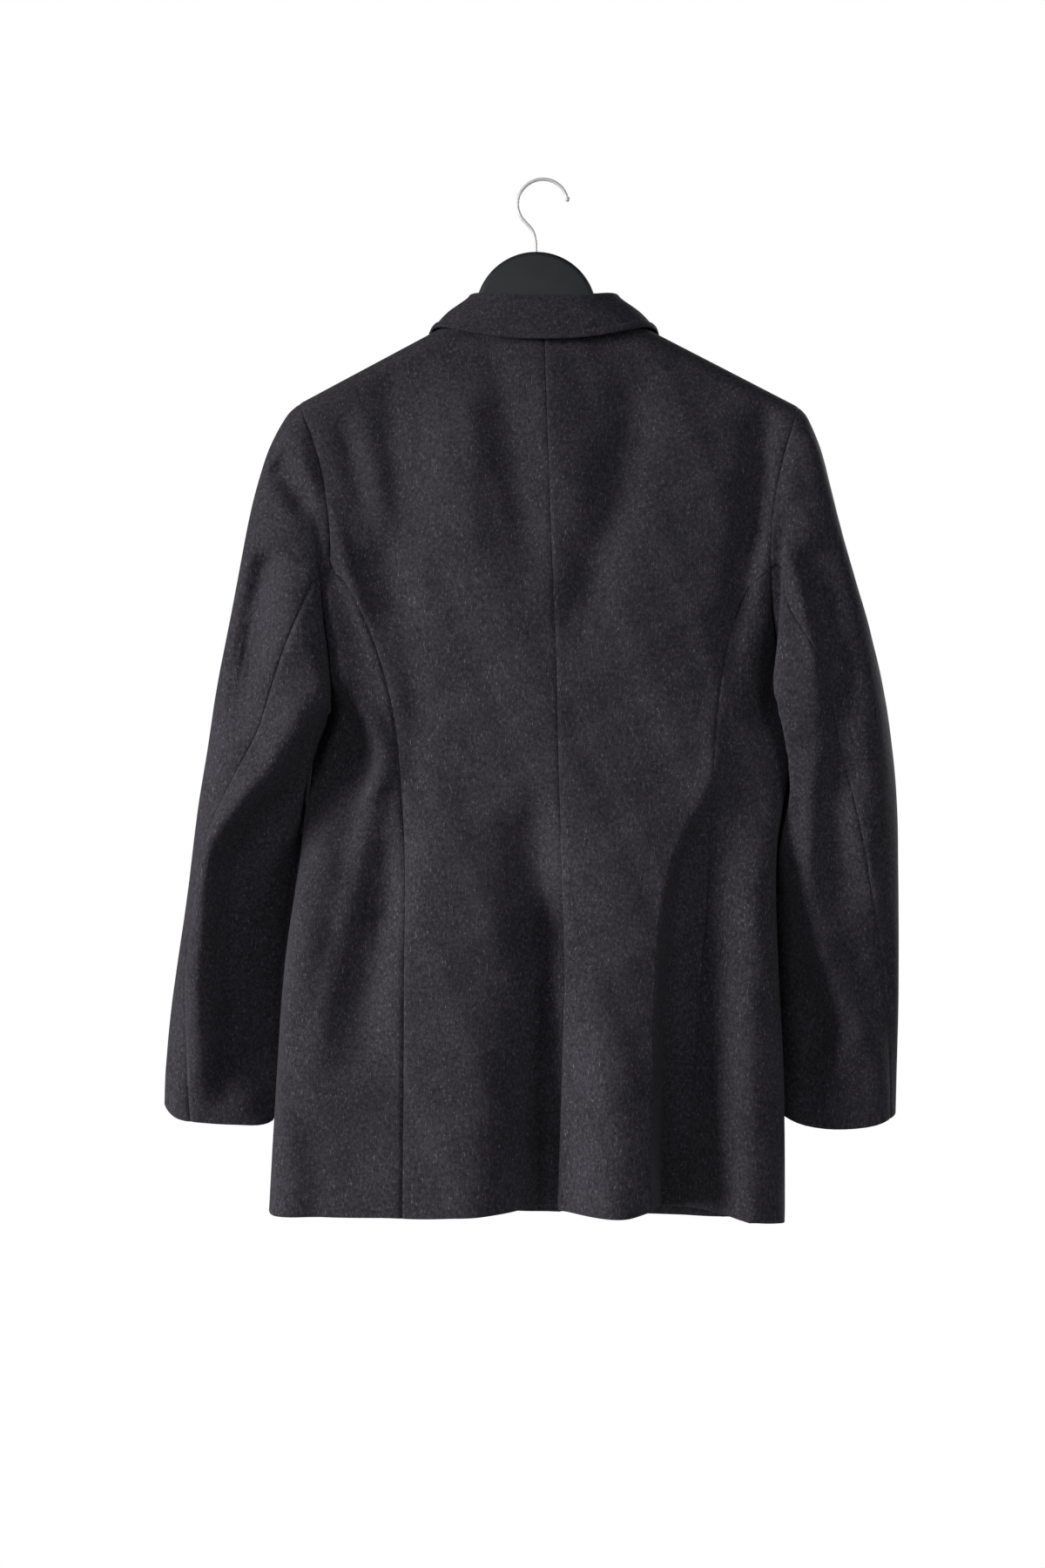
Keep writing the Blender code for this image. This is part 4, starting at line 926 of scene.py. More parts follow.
SLEEVE_CREASES = {      # behind the arm; the front of each sleeve has its own below
    -1: rows_of(
        Crease, ((-0.24, -0.254), (-0.221, -0.276), (-0.19, -0.322), 0.012, 0.012, -0.01, 0.25, 0.35),
        ((-0.238, -0.332), (-0.254, -0.388), (-0.268, -0.5), 0.015, 0.014, -0.019, 0.15, 0.35),
        ((-0.206, -0.35), (-0.22, -0.402), (-0.24, -0.45), 0.014, 0.014, 0.003, 0.4, 0.5),
        ((-0.196, -0.44), (-0.232, -0.524), (-0.296, -0.606), 0.022, 0.012, 0.011, 0.3, 0.5),
        ((-0.318, -0.66), (-0.326, -0.74), (-0.33, -0.86), 0.01, 0.012, 0.003, 0.4, 0.01),
        ((-0.286, -0.48), (-0.296, -0.53), (-0.303, -0.59), 0.01, 0.01, -0.0022, 0.4, 0.5)),
    1: rows_of(
        Crease, ((0.226, -0.312), (0.256, -0.405), (0.266, -0.505), 0.016, 0.02, -0.0096, 0.2, 0.3),
        ((0.267, -0.48), (0.259, -0.575), (0.276, -0.672), 0.016, 0.018, -0.0096, 0.3, 0.3),
        ((0.214, -0.325), (0.236, -0.415), (0.247, -0.505), 0.01, 0.01, 0.0066, 0.25, 0.3),
        ((0.248, -0.485), (0.238, -0.585), (0.247, -0.655), 0.01, 0.01, 0.0066, 0.3, 0.4),
        ((0.262, -0.674), (0.272, -0.694), (0.294, -0.706), 0.007, 0.008, -0.004, 0.4, 0.4),
        ((0.29, -0.73), (0.3, -0.79), (0.302, -0.87), 0.036, 0.014, 0.01, 0.4, 0.01),
        ((0.242, -0.215), (0.258, -0.262), (0.276, -0.34), 0.026, 0.014, 0.006, 0.3, 0.4),
        ((0.262, -0.29), (0.294, -0.45), (0.302, -0.69), 0.024, 0.016, 0.01, 0.3, 0.4)),
}
SLEEVE_FRONT_CREASES = {
    -1: rows_of(
        Crease, ((-0.25, -0.262), (-0.226, -0.296), (-0.2, -0.33), 0.014, 0.014, -0.005, 0.3, 0.4),
        ((-0.205, -0.47), (-0.246, -0.52), (-0.296, -0.54), 0.014, 0.012, -0.006, 0.3, 0.4),
        ((-0.212, -0.52), (-0.256, -0.56), (-0.306, -0.58), 0.012, 0.012, -0.0045, 0.3, 0.4),
        ((-0.24, -0.56), (-0.262, -0.68), (-0.27, -0.85), 0.02, 0.024, -0.006, 0.4, 0.1)),
    1: rows_of(
        Crease, ((0.262, -0.264), (0.24, -0.3), (0.214, -0.336), 0.014, 0.014, -0.0046, 0.3, 0.4),
        ((0.212, -0.48), (0.252, -0.524), (0.302, -0.548), 0.014, 0.012, -0.006, 0.3, 0.4),
        ((0.214, -0.535), (0.258, -0.572), (0.306, -0.59), 0.012, 0.012, -0.004, 0.3, 0.4),
        ((0.24, -0.58), (0.254, -0.69), (0.256, -0.85), 0.02, 0.024, -0.006, 0.4, 0.1)),
}


def sleeve_angles(seam, across, under):
    """Angles round a ring, from its back seam over the top to the front one, then underneath."""
    if under:
        return mix(seam, 2 * math.pi - seam, across)
    return seam * np.linspace(-1, 1, 2 * HEAD + 1)


def sleeve_ring(side, ring, angles):
    outer = np.array((ring.outer_x, ring.mid_y, ring.outer_z))
    inner = np.array((ring.inner_x, ring.mid_y, ring.inner_z))
    sine, cosine = np.sin(angles), np.cos(angles)
    depth = np.where((angles < 0) | (angles > math.pi), ring.back, ring.front)
    points = (outer + inner) / 2 + (outer - inner) / 2 * cosine[:, None]
    points[:, 0] -= side * ring.bow * sine ** 2
    fuller = mix(0.50, 1.00, float(ease((ELBOW - ring.outer_z) / 0.10)))    # towards the body, above
    square = mix(0.85, fuller, ease((1 - cosine) / 2))
    points[:, 1] += np.copysign(np.abs(sine) ** square, sine) * depth
    return points


def off_the_body(points, side):
    """Holds the inside of a sleeve off the body's flat edge."""
    z = np.clip(points[..., 2], -0.95, UNDERARM)
    left, right = smooth(BODY, "left", z), smooth(BODY, "right", z)
    gap = SLEEVE_GAPS[side]
    clear = SLEEVE_CLEAR + gap.extra * np.exp(-((z - gap.z) / gap.wide) ** 2)
    middle, half = (left + right) / 2, (right - left) / 2 + clear
    deep = np.where(points[..., 1] < 0, smooth(BODY, "back", z), smooth(BODY, "front", z)) + SLEEVE_CLEAR
    through_it = np.minimum(np.abs(points[..., 1]) / deep, 1)
    edge = half * np.sqrt(1 - through_it ** (2 / EDGE_FLATNESS))
    below = ease((UNDERARM - 0.004 - points[..., 2]) / 0.030)
    reach = np.abs(points[..., 0] - middle)
    moved = middle + side * np.maximum(reach, mix(reach, edge, below))
    return np.stack([moved, points[..., 1], points[..., 2]], -1)


Cuff = namedtuple("Cuff", "outer inner droop roundness")
CUFFS = {-1: Cuff(0.012, 0.016, 0.000, 6), 1: Cuff(0.004, 0.014, 0.004, 3)}


def sleeve_face(side, under):
    """A sleeve piece from the armhole to the cuff."""
    back, front, below = backs[side], fronts[side], side_faces[side][-1]
    if under:
        first = below[::-1]
        across = walked(first) / walked(first)[-1]
    else:
        first = np.concatenate([back[-HEAD - 1:, 0], front[-2:-HEAD - 2:-1, 0]])
        across = None
    rings = [first]
    for ring in SLEEVES[side]:
        rings.append(sleeve_ring(side, ring, sleeve_angles(math.radians(ring.seam), across, under)))
    rings = np.array(rings)
    keys = np.concatenate([[0], np.cumsum(np.linalg.norm(np.diff(rings, axis=0), axis=2).mean(1))])
    places = refine(keys, SLEEVE_ROWS)
    grid = through(keys, rings, places)
    x, y, z = grid[..., 0], grid[..., 1], grid[..., 2]

    mid = smooth(SLEEVES[side], "mid_y", z, "outer_z")
    full = np.minimum(1, np.abs(y - mid) / 0.020) * ease(places / 0.026)[:, None]
    behind = crease_lift(SLEEVE_CREASES[side], x, z, 1.3) + fold_drop(FALLEN_IN[side], -side, ARM_TURN, x, z)
    before = crease_lift(SLEEVE_FRONT_CREASES[side], x, z, 1.3)
    grid[..., 1] += full * np.where(y < mid, -behind, before)

    # the cuff's corners turn up a little
    last, cuff = SLEEVES[side][-1], CUFFS[side]
    from_mid = side * (2 * x - last.outer_x - last.inner_x) / abs(last.outer_x - last.inner_x)
    corner = np.minimum(np.abs(from_mid), 1) ** cuff.roundness
    turned = np.where(from_mid > 0, cuff.outer, cuff.inner) * corner
    near = ease(1 - (places[-1] - places) / 0.060)[:, None]
    grid[..., 2] += near * (turned - cuff.droop * (1 - np.minimum(from_mid ** 2, 1)))
    grid = off_the_body(grid, side)
    grid[0] = first
    return grid


for side, name in SIDES.items():
    for under, kind, flat, cut in ((0, "top_sleeve", (0.215, 0.600), 0.082),
                                   (1, "under_sleeve", (0.190, 0.520), 0.082)):
        piece = cloth_wall(f"{kind}_panel_{name}", sleeve_face(side, under), -side,
                           {"low": 1, "high": 0, "first": 1, "last": 1}, hem="high")
        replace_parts(piece, f"{kind}_{name}")


# ------------------------------------------------------------ collar
# A melton collar: its stand rises from the neckline, rolls over and falls on the shoulders. Two layers
# meet in a thick turned edge, pressed so that a shallow line follows it a few millimetres in.
Station = namedtuple("Station", "roll_x roll_y roll_z edge_x edge_drop edge_side spring")
# Half of the collar from the centre back to its front end; x from the centre.
COLLAR = rows_of(
    Station, (0, -0.031, -0.108, 0, 0.07, -1, 0.013), (0.016, -0.0308, -0.1078, 0.02, 0.0598, -1, 0.013),
    (0.032, -0.0295, -0.107, 0.04, 0.0486, -1, 0.013), (0.046, -0.0245, -0.1055, 0.058, 0.0368, -1, 0.013),
    (0.058, -0.017, -0.1035, 0.074, 0.024, -1, 0.011), (0.0645, -0.009, -0.103, 0.087, 0.0122, -1, 0.0055),
    (0.067, -0.002, -0.1045, 0.095, 0.0035, -1, 0.0055), (0.0685, 0.005, -0.1085, 0.099, 0, 1, 0.004),
    (0.069, 0.012, -0.1145, 0.102, 0.0035, 1, 0.004), (0.068, 0.019, -0.122, 0.103, 0.01, 1, 0.004),
    (0.067, 0.026, -0.132, 0.102, 0.019, 1, 0.004), (0.065, 0.033, -0.145, 0.1, 0.03, 1, 0.004),
    (0.062, 0.038, -0.157, 0.097, 0.042, 1, 0.004))
ROLL_HALF = 0.0032
FALL_LOW = -0.1475      # the fall's edge at the centre back
FALL_RISE = 0.0165      # and how much higher its ends lie, on the shoulders
FALL_FREE = 0.011       # behind the shoulder ridge the edge follows that curve
COLLAR_THICK = 0.0030
STAND_CLEAR = 0.0008    # the stand meets the neckline this far off it
EDGE_LINE = 0.0046      # the pressed line lies this far in from the edge
EDGE_LINE_DEEP = 0.0007
EDGE_FULL = 0.0012      # the turned edge stands proud of the collar by this much


def collar_seam(side, station):
    """Where the collar's stand meets the neckline."""
    if station.edge_side < 0 or station.edge_drop == 0:
        reach = station.roll_x / COLLAR[7].roll_x
        low = NECK[-1][1] - NECK_DROP
        x, z = mix(NECK_CENTRE, NECK[side][0], reach), low + (NECK[side][1] - low) * reach ** 2
        return on_body(x, z, -1) + (0, 0, STAND_CLEAR)
    z = mix(NECK[side][1], GORGE + 0.004,
            (COLLAR[7].roll_z - station.roll_z) / (COLLAR[7].roll_z - COLLAR[-1].roll_z))
    return on_body(roll_line(side, z), z, 1) + (-side * STAND_CLEAR, 0, STAND_CLEAR)


def collar_face(along=190, over=(10, 4, 4, 4, 12, 14)):
    """The collar's outer face, across its fold at each place from the left end to the right."""
    halves = [(-1, s) for s in reversed(COLLAR[1:])] + [(1, s) for s in COLLAR]
    rolls = np.array([(NECK_CENTRE + side * s.roll_x, s.roll_y, s.roll_z) for side, s in halves])
    profiles = []
    for i, (side, s) in enumerate(halves):
        run = rolls[min(i + 1, len(rolls) - 1)] - rolls[max(i - 1, 0)]
        away = np.array((run[1], -run[0], 0)) / math.hypot(run[0], run[1])
        edge_x = NECK_CENTRE + side * s.edge_x
        edge = on_body(edge_x, float(shoulder_line(edge_x)) - s.edge_drop, s.edge_side)
        lift = np.array((0.3 * side, s.edge_side * min(1, s.edge_drop / 0.015), 0.9))
        edge = edge + lift / np.linalg.norm(lift) * s.spring
        if s.edge_side < 0 and s.edge_drop > FALL_FREE:
            edge[2] = FALL_LOW + FALL_RISE * (s.edge_x / COLLAR[6].edge_x) ** 2
        drop = np.array((0, 0, ROLL_HALF))
        inner, outer = rolls[i] - away * ROLL_HALF - drop, rolls[i] + away * ROLL_HALF - drop
        seam = collar_seam(side, s)
        profiles.append([seam, (seam + inner) / 2, inner, rolls[i], outer,
                         (outer + edge) / 2 + away * 0.0016 + (0, 0, 0.0018), edge])
    profiles = np.array(profiles)
    walk = walked(profiles[:, 4])
    rows = through(walk, profiles, np.linspace(0, walk[-1], along))
    across = walked(profiles[len(COLLAR) - 1])      # at the centre back
    places = np.concatenate([mix(across[n], across[n + 1], np.linspace(0, 1, steps, endpoint=False))
                             for n, steps in enumerate(over)])
    near = across[-1] - np.array([0.0075, 0.0062, 0.0054, 0.0048, 0.0042, 0.0034, 0.0024, 0.0014, 0.0006, 0])
    places = np.concatenate([places[places < near[0] - 0.0005], near])
    grid = through(across, rows.transpose(1, 0, 2), places).transpose(1, 0, 2)
    normals = grid_normals(grid, 1)
    inward = edge_run(grid, 1)
    share = np.linspace(0, 1, along)[:, None]
    waver = 0.0004 * np.sin(share * 19 + 0.6) + 0.0001 * np.sin(share * 47 + 2.0)
    lift = EDGE_FULL * (1 - ease((inward - EDGE_LINE) / 0.0012)) + waver * np.exp(-inward / 0.02)
    lift = lift - EDGE_LINE_DEEP * np.exp(-((inward - EDGE_LINE - 0.0006) / 0.0011) ** 2)
    return grid + normals * lift[..., None]


collar_grid = collar_face()
collar = cloth_wall("collar_fall", collar_grid, 1, {"low": 0, "high": 0, "first": 1, "last": 0},
                    thick=COLLAR_THICK, dips={"first": 0, "last": 0})
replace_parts(collar, "collar")


# ------------------------------------------------------------ stitching
# Silk thread in the colour of the cloth. A row of short pricked stitches follows the edges of the collar,
# lapels and fronts, and a bar tack closes the top of the vent.
STITCH_LONG = 0.0024
STITCH_THICK = 0.00022
COLLAR_STEP = 0.0052
FRONT_STEP = 0.0060
FRONT_INSET, LAPEL_INSET = 0.0055, 0.0050
THREAD_DARK, THREAD_PALE = (0.016, 0.015, 0.019), (0.060, 0.057, 0.070)
thread = Finish("silk_thread", roughness=0.55, specular_ior_level=0.4, sheen_weight=0.15)
twist = thread.noise(thread.place((0.3, 0.2, 0), (2600, 2600, 700)), 1.0, 2)
thread.feed(base_color=thread.tint(thread.step(twist, 0.35, 0.7), THREAD_DARK, THREAD_PALE),
            roughness=0.50 + (twist - 0.5) * 0.2, normal=thread.bump(twist, 0.5, 0.0003))


def stitch_nodes():
    """Geometry nodes that set a short thread at even steps along a line of edges."""
    group = bpy.data.node_groups.new("stitch_row", "GeometryNodeTree")
    group.is_modifier = True
    group.interface.new_socket("Line", in_out="INPUT", socket_type="NodeSocketGeometry")
    for name, kind in (("Step", "NodeSocketFloat"), ("Length", "NodeSocketFloat"),
                       ("Thickness", "NodeSocketFloat"), ("Seed", "NodeSocketInt"),
                       ("Thread", "NodeSocketMaterial")):
        group.interface.new_socket(name, in_out="INPUT", socket_type=kind)
    group.interface.new_socket("Stitches", in_out="OUTPUT", socket_type="NodeSocketGeometry")
    entry, leave = group.nodes.new("NodeGroupInput"), group.nodes.new("NodeGroupOutput")

    def add(kind, joins, **settings):
        made = group.nodes.new(kind)
        for key, value in settings.items():
            setattr(made, key, value)
        for name, value in joins.items():
            if isinstance(value, bpy.types.NodeSocket):
                group.links.new(value, made.inputs[name])
            else:
                made.inputs[name].default_value = value
        return made

    line = add("GeometryNodeMeshToCurve", {"Mesh": entry.outputs["Line"]})
    points = add("GeometryNodeCurveToPoints", {"Curve": line.outputs[0], "Length": entry.outputs["Step"]},
                 mode="LENGTH")
    half = add("ShaderNodeMath", {0: entry.outputs["Length"], 1: 0.5}, operation="MULTIPLY")
    back = add("ShaderNodeMath", {0: half.outputs[0], 1: -1.0}, operation="MULTIPLY")
    start = add("ShaderNodeCombineXYZ", {"Z": back.outputs[0]})
    end = add("ShaderNodeCombineXYZ", {"Z": half.outputs[0]})
    run = add("GeometryNodeCurvePrimitiveLine", {"Start": start.outputs[0], "End": end.outputs[0]})
    round_ = add("GeometryNodeCurvePrimitiveCircle", {"Resolution": 8, "Radius": entry.outputs["Thickness"]},
                 mode="RADIUS")
    body = add("GeometryNodeCurveToMesh", {"Curve": run.outputs[0], "Profile Curve": round_.outputs[0],
                                           "Fill Caps": True})
    size = add("FunctionNodeRandomValue", {2: 0.82, 3: 1.12, "Seed": entry.outputs["Seed"]},
               data_type="FLOAT")
    placed = add("GeometryNodeInstanceOnPoints", {"Points": points.outputs["Points"],
                                                  "Instance": body.outputs[0],
                                                  "Rotation": points.outputs["Rotation"],
                                                  "Scale": size.outputs[1]})
    whole = add("GeometryNodeRealizeInstances", {"Geometry": placed.outputs[0]})
    dyed = add("GeometryNodeSetMaterial", {"Geometry": whole.outputs[0], "Material": entry.outputs["Thread"]})
    group.links.new(dyed.outputs[0], leave.inputs["Stitches"])
    return group


STITCHES = stitch_nodes()


def stitch_row(name, lines, step, length, thickness, seed):
    """A row of stitches along each line of points."""
    points = np.concatenate(lines)
    edges, count = [], 0
    for line in lines:
        edges += [(count + i, count + i + 1) for i in range(len(line) - 1)]
        count += len(line)
    mesh = bpy.data.meshes.new(name + "_line")
    mesh.from_pydata(points.tolist(), edges, [])
    row = put(name, mesh)
    sewing = row.modifiers.new("stitches", "NODES")
    sewing.node_group = STITCHES
    given = {"Step": step, "Length": length, "Thickness": thickness, "Seed": seed, "Thread": thread.material}
    for socket in STITCHES.interface.items_tree:
        if socket.in_out == "INPUT" and socket.name in given:
            sewing[socket.identifier] = given[socket.name]
    sewn = bpy.data.meshes.new_from_object(row.evaluated_get(bpy.context.evaluated_depsgraph_get()))
    row.modifiers.remove(sewing)
    row.data = sewn
    bpy.data.meshes.remove(mesh)
    sewn.shade_smooth()
    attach(row, "root")
    return row


def inset_line(grid, turned, inset, out=0.0001):
    """Points that follow a grid's last column, inset from it and a little off the cloth."""
    run, face = edge_run(grid, 1), grid + grid_normals(grid, turned) * out
    return np.array([[np.interp(inset, run[j][::-1], face[j, ::-1, k]) for k in range(3)]
                     for j in range(len(grid))])


stitch_row("collar_stitches", [inset_line(collar_grid, 1, EDGE_LINE + 0.0006)],
           COLLAR_STEP, STITCH_LONG, STITCH_THICK, 3)
front_lines = []
for side in (-1, 1):
    line = inset_line(fronts[side], side, FRONT_INSET)
    front_lines.append(line[(line[:, 2] < BREAK - 0.01) & (line[:, 2] > HEM + 0.02)])
stitch_row("front_edge_stitches", front_lines, FRONT_STEP, STITCH_LONG, STITCH_THICK, 5)
stitch_row("lapel_stitches", [inset_line(lapel_face(side), -side, LAPEL_INSET) for side in (-1, 1)],
           FRONT_STEP, STITCH_LONG, STITCH_THICK, 7)

TACK = ((0.0125, -0.6085), (0.0185, -0.6120))      # the bar across the top of the vent
TACK_STEP, TACK_LONG, TACK_THICK = 0.0012, 0.0014, 0.00026
x, z = (mix(TACK[0][n], TACK[1][n], np.linspace(0, 1, 8)) for n in (0, 1))
bars = [on_body(x + shift * 0.4, z + shift, -1, back_lift(x, z) + 0.0004) for shift in (-0.0005, 0, 0.0005)]
stitch_row("vent_tack", bars, TACK_STEP, TACK_LONG, TACK_THICK, 9)


# ------------------------------------------------------------ buttons and buttonholes
# Three four-hole buttons of dark horn on thread shanks. Each comes through a worked buttonhole in the
# right front, whose far end shows beside it.
BUTTON_HEIGHTS = (-0.440, -0.545, -0.650)
BUTTON_RADIUS = 0.0105
BUTTON_THICK = 0.0040
BUTTON_CLEAR = 0.0004   # between a button's back and the cloth
STRAND_RADIUS = 0.00032
SHANK_RADIUS = 0.0016
BUTTON_PROFILE = [      # (distance from the middle, height) as shares of the radius and the thickness
    (0.00, 0.24), (0.30, 0.22), (0.52, 0.18), (0.60, 0.24), (0.68, 0.40), (0.78, 0.50), (0.90, 0.46),
    (0.97, 0.28), (1.00, 0.02), (0.98, -0.22), (0.90, -0.42), (0.74, -0.50), (0.40, -0.50), (0.00, -0.50)]
HOLE = 0.0010
HOLE_APART = 0.0017

horn = Finish("dark_horn", specular_ior_level=0.5, coat_weight=0.25, coat_roughness=0.2)
grain = horn.node("ShaderNodeTexWave", {"Vector": horn.place((0.4, 0.9, 0.3), (240, 240, 60)), "Scale": 1.0,
                                        "Distortion": 5.0, "Detail": 3.0}, out="Fac")
cloudy = horn.noise(horn.place(), 420, 3)
streak = horn.step(grain * 0.6 + cloudy * 0.6, 0.35, 0.95)
horn.feed(base_color=horn.tint(streak, (0.011, 0.010, 0.010), (0.052, 0.042, 0.036)),
          roughness=0.24 + cloudy * 0.22, normal=horn.bump(cloudy, 0.15, 0.0002))


def lathed(profile, segments):
    """Points and faces of a profile turned about the z axis; its ends lie on the axis."""
    ring = np.linspace(0, 2 * math.pi, segments, endpoint=False)
    points = [(0.0, 0.0, profile[0][1])]
    for radius, height in profile[1:-1]:
        points += [(radius * math.cos(a), radius * math.sin(a), height) for a in ring]
    points.append((0.0, 0.0, profile[-1][1]))
    first = [1 + segments * n for n in range(len(profile) - 2)]
    faces = []
    for i in range(segments):
        j = (i + 1) % segments
        faces.append((0, first[0] + i, first[0] + j))
        faces += [(a + i, b + i, b + j, a + j) for a, b in zip(first, first[1:])]
        faces.append((first[-1] + i, len(points) - 1, first[-1] + j))
    return np.array(points), faces


def button_mesh():
    smooth_line = through(np.arange(len(BUTTON_PROFILE)), np.array(BUTTON_PROFILE),
                          np.linspace(0, len(BUTTON_PROFILE) - 1, 53))
    smooth_line[0, 0] = smooth_line[-1, 0] = 0
    points, faces = lathed(smooth_line * (BUTTON_RADIUS, BUTTON_THICK), 72)
    mesh = bpy.data.meshes.new("button")
    mesh.from_pydata(points.tolist(), [], faces)
    button = put("button", mesh)
    drill = bmesh.new()
    for x, y in ((-1, -1), (1, -1), (1, 1), (-1, 1)):
        bmesh.ops.create_cone(drill, cap_ends=True, segments=20, radius1=HOLE, radius2=HOLE, depth=0.02,
                              matrix=Matrix.Translation((x * HOLE_APART, y * HOLE_APART, 0)))
    bits = bpy.data.meshes.new("drill")
    drill.to_mesh(bits)
    drill.free()
    tool = put("drill", bits)
    cut = button.modifiers.new("holes", "BOOLEAN")
    cut.object = tool
    cut.solver = "EXACT"
    made = bpy.data.meshes.new_from_object(button.evaluated_get(bpy.context.evaluated_depsgraph_get()))
    for spare in (button, tool):
        bpy.data.objects.remove(spare)
    return made


def tube(line, radius, segments=10, closed=False):
    """Points and faces of a tube along a line; its open ends are capped."""
    line = np.asarray(line, float)
    count = len(line)
    ahead = unit(np.roll(line, -1, 0) - np.roll(line, 1, 0) if closed else np.gradient(line, axis=0))
    beside = unit(np.cross(ahead, (0.13, 0.97, 0.21)))
    above = np.cross(beside, ahead)
    turn = np.linspace(0, 2 * math.pi, segments, endpoint=False)
    radius = np.broadcast_to(radius, count)[:, None, None]
    points = line[:, None] + radius * (np.cos(turn)[:, None] * beside[:, None]
                                       + np.sin(turn)[:, None] * above[:, None])
    faces = []
    for n in range(count if closed else count - 1):
        here, then = n * segments, (n + 1) % count * segments
        for i in range(segments):
            j = (i + 1) % segments
            faces.append((here + i, here + j, then + j, then + i))
    if not closed:
        faces += [tuple(range(segments))[::-1], tuple((count - 1) * segments + i for i in range(segments))]
    return points.reshape(-1, 3), faces


def at_button(z):
    """The middle of a button's place on the cloth, and its own three directions."""
    reach = BUTTON_RADIUS
    upright = on_body(0, z + reach, 1) - on_body(0, z - reach, 1)
    across = on_body(reach, z, 1) - on_body(-reach, z, 1)
    out, across = unit(np.cross(upright, across)), unit(across)
    middle = on_body(0, z, 1) + out * (BUTTON_THICK / 2 + BUTTON_CLEAR)
    return middle, np.array([across, np.cross(out, across), out])


def joined(parts):
    """The points and faces of several parts as one."""
    starts = np.cumsum([0] + [len(points) for points, _ in parts])
    faces = [tuple(int(start + i) for i in face) for start, part in zip(starts, parts) for face in part[1]]
    return np.concatenate([points for points, _ in parts]), faces


blank = button_mesh()
local = np.array([corner.co for corner in blank.vertices])
blank_faces = [tuple(face.vertices) for face in blank.polygons]
for number, z in enumerate(BUTTON_HEIGHTS, 1):
    middle, axes = at_button(z)
    button = made_piece(f"horn_button_{number}", middle + local @ axes, blank_faces, horn.material,
                        "horn", sharp=40)
    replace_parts(button, f"button_{number}")

    strands = []
    bow = np.linspace(-1, 1, 13)[:, None]
    for turn in (-1, 1):
        for y in (-1, 1):
            arc = np.hstack([bow * HOLE_APART, y * turn * HOLE_APART * np.ones((13, 1)) + 0.0002 * turn * bow,
                             BUTTON_THICK * 0.26 + 0.0007 * (1 - bow ** 4) - 0.0012 * bow ** 8])
            strands.append(tube(middle + arc @ axes, STRAND_RADIUS, 8))
    shank = np.array([(0, 0, -BUTTON_THICK * 0.45), (0, 0, -BUTTON_THICK * 1.1)])
    strands.append(tube(middle + shank @ axes, SHANK_RADIUS, 12))
    made_piece(f"button_thread_{number}", *joined(strands), thread.material)

BUTTONHOLE = (-0.003, 0.0205)       # from beside the shank towards the side seam
EYE = 0.0012
KNOTS = 160             # round one hole
turn = np.linspace(0, 2 * math.pi, 64, endpoint=False)
places, corners = np.linspace(0, 1, KNOTS, endpoint=False), np.linspace(0, 1, len(turn) + 1)
for number, z in enumerate(BUTTON_HEIGHTS, 1):
    x = np.where(np.cos(turn) > 0, BUTTONHOLE[1] - EYE, BUTTONHOLE[0] + EYE) + EYE * np.cos(turn)
    x = np.interp(places, corners, np.append(x, x[0]))
    high = z + EYE * np.interp(places, corners, np.append(np.sin(turn), 0))
    purl = on_body(x, high, 1, front_lift(x, high) + 0.0003)
    knots = 0.00056 + 0.00012 * np.abs(np.sin(np.arange(KNOTS) * 1.35))
    points, faces = tube(purl, knots, 8, closed=True)
    made_piece(f"buttonhole_{number}", points, faces, thread.material)


# ------------------------------------------------------------ hanger
# A moulded coat hanger of matt black plastic: arms that carry the shoulders, and between them the round
# dome that stands above the collar, all with well rounded edges and a faintly sanded surface.
plastic = Finish("black_plastic", specular_ior_level=0.45)
sanded = plastic.noise(plastic.place(), 2600, 2, 0.6)
clouded = plastic.noise(plastic.place(), 60, 2)
PLASTIC_DARK, PLASTIC_PALE = (0.0187, 0.0204, 0.0240), (0.0214, 0.0233, 0.0274)
plastic.feed(base_color=plastic.tint(plastic.step(clouded, 0.3, 0.7), PLASTIC_DARK, PLASTIC_PALE),
             roughness=0.55 + (sanded - 0.5) * 0.18, normal=plastic.bump(sanded, 0.12, 0.0002))
HANGER_THICK = 0.012
HANGER_ROUND = 0.0052
DOME_CENTRE = (-0.0050, -0.1182)
DOME_RADIUS = 0.0545
ARM_REACH = 0.200
ARM_START = 0.086
ARM_DEPTH = 0.026
ARM_SLOPE = 28          # degrees
ARM_CLEAR = 0.0008      # between the arm's top and the cloth
UNDERSIDE = ((0.075, -0.166), (0.035, -0.156), (0, -0.153), (-0.035, -0.156), (-0.075, -0.166))


def hanger_outline():
    drop = CLOTH / math.cos(math.radians(ARM_SLOPE)) + ARM_CLEAR
    cx, cz = DOME_CENTRE
    arm = {}
    for side in (-1, 1):
        x = cx + side * np.linspace(ARM_REACH, ARM_START, 12)
        high = shoulder_line(x) - drop
        arm[side] = list(zip(x, high)) + [(cx + side * DOME_RADIUS, high[-1])]
    turn = np.radians(np.linspace(180, 0, 73)[1:-1])
    dome = list(zip(cx + DOME_RADIUS * np.cos(turn), cz + DOME_RADIUS * np.sin(turn)))
    tips = arm[-1][0], arm[1][0]
    below = [(tips[1][0], tips[1][1] - ARM_DEPTH), *((cx + x, z) for x, z in UNDERSIDE),
             (tips[0][0], tips[0][1] - ARM_DEPTH)]
    return arm[-1] + dome + arm[1][::-1] + below


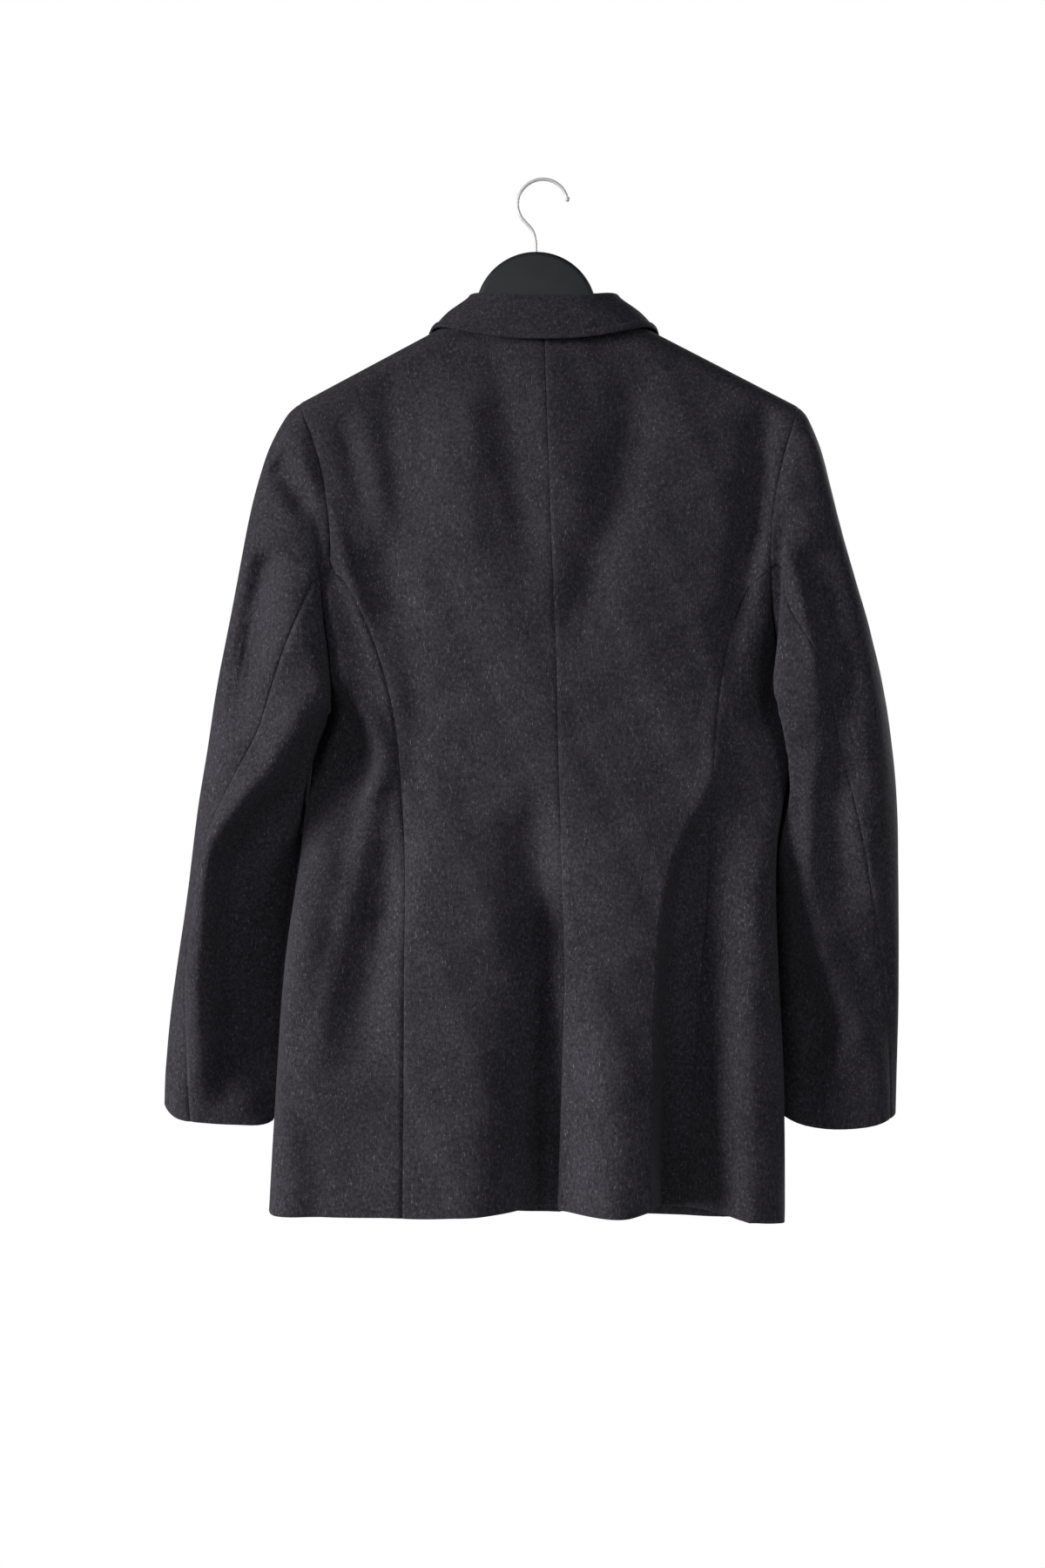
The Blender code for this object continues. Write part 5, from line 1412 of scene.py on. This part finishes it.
bm = bmesh.new()
outline = [bm.verts.new((x, HANGER_THICK / 2, z)) for x, z in hanger_outline()]
plate = bm.faces.new(outline)
drawn = bmesh.ops.extrude_face_region(bm, geom=[plate])
for part in drawn["geom"]:
    if isinstance(part, bmesh.types.BMVert):
        part.co.y = -HANGER_THICK / 2
bmesh.ops.recalc_face_normals(bm, faces=bm.faces)
rims = [edge for edge in bm.edges if edge.calc_face_angle(0) > math.radians(50)
        and abs(edge.verts[0].co.y - edge.verts[1].co.y) < 1e-6]
bmesh.ops.bevel(bm, geom=rims, offset=HANGER_ROUND, offset_type="OFFSET", segments=6, profile=0.5,
                affect="EDGES", clamp_overlap=True)
mesh = bpy.data.meshes.new("moulded_hanger")
bm.to_mesh(mesh)
bm.free()
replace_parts(hung(mesh, plastic.material, sharp=50), "hanger")


# ------------------------------------------------------------ hook
# A thin hook of plated wire, drawn smooth, with a small ball at its tip. Its near-white colour is a painted
# reflection: it stands in for the white studio mirrored in the plating.
# It is bent round a form and set into the top of the dome.
# Painted reflection: the near-white base colour and its lengthwise streaks imitate the white room reflected
# in the plated wire.
reflection_paint = Finish("wire_painted_reflection", metallic=0.10)
sheen = reflection_paint.noise(reflection_paint.place((0, 0.2, 0), (900, 900, 3000)), 1.0, 2)
reflection_paint.feed(base_color=reflection_paint.tint(reflection_paint.step(sheen, 0.3, 0.7), (0.90, 0.89, 0.91), (0.95, 0.94, 0.96)),
           roughness=0.42 + (sheen - 0.5) * 0.08, normal=reflection_paint.bump(sheen, 0.03, 0.0001))
WIRE = 0.0015
HOOK_X = 0.001
HOOK_RADIUS = 0.0225
HOOK_BALL = 0.0023
HOOK_FROM, HOOK_TO = 12, 214        # degrees round the hook's arc
STEM = [(-0.0090, -0.0435), (-0.0066, -0.0490), (-0.0054, -0.0550), (-0.0050, -0.0640), (-0.0050, -0.0780)]
turn = np.radians(np.linspace(HOOK_FROM, HOOK_TO, 15))
line = np.stack([HOOK_X + HOOK_RADIUS * np.cos(turn), WIRE - HOOK_RADIUS + HOOK_RADIUS * np.sin(turn)], 1)
line = np.concatenate([line, STEM])
walk = walked(line)
bend = through(walk, line, np.linspace(0, walk[-1], 150))
bend = np.stack([bend[:, 0], 0 * bend[:, 0], bend[:, 1]], 1)
ball, ball_faces = lathed([(math.sin(a) * HOOK_BALL, math.cos(a) * HOOK_BALL)
                           for a in np.linspace(0, math.pi, 19)], 32)
points, faces = joined([tube(bend, WIRE, 20), (ball + bend[0], ball_faces)])
hook = made_piece("hook_wire", points, faces, reflection_paint.material, "chrome")
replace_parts(hook, "hook")
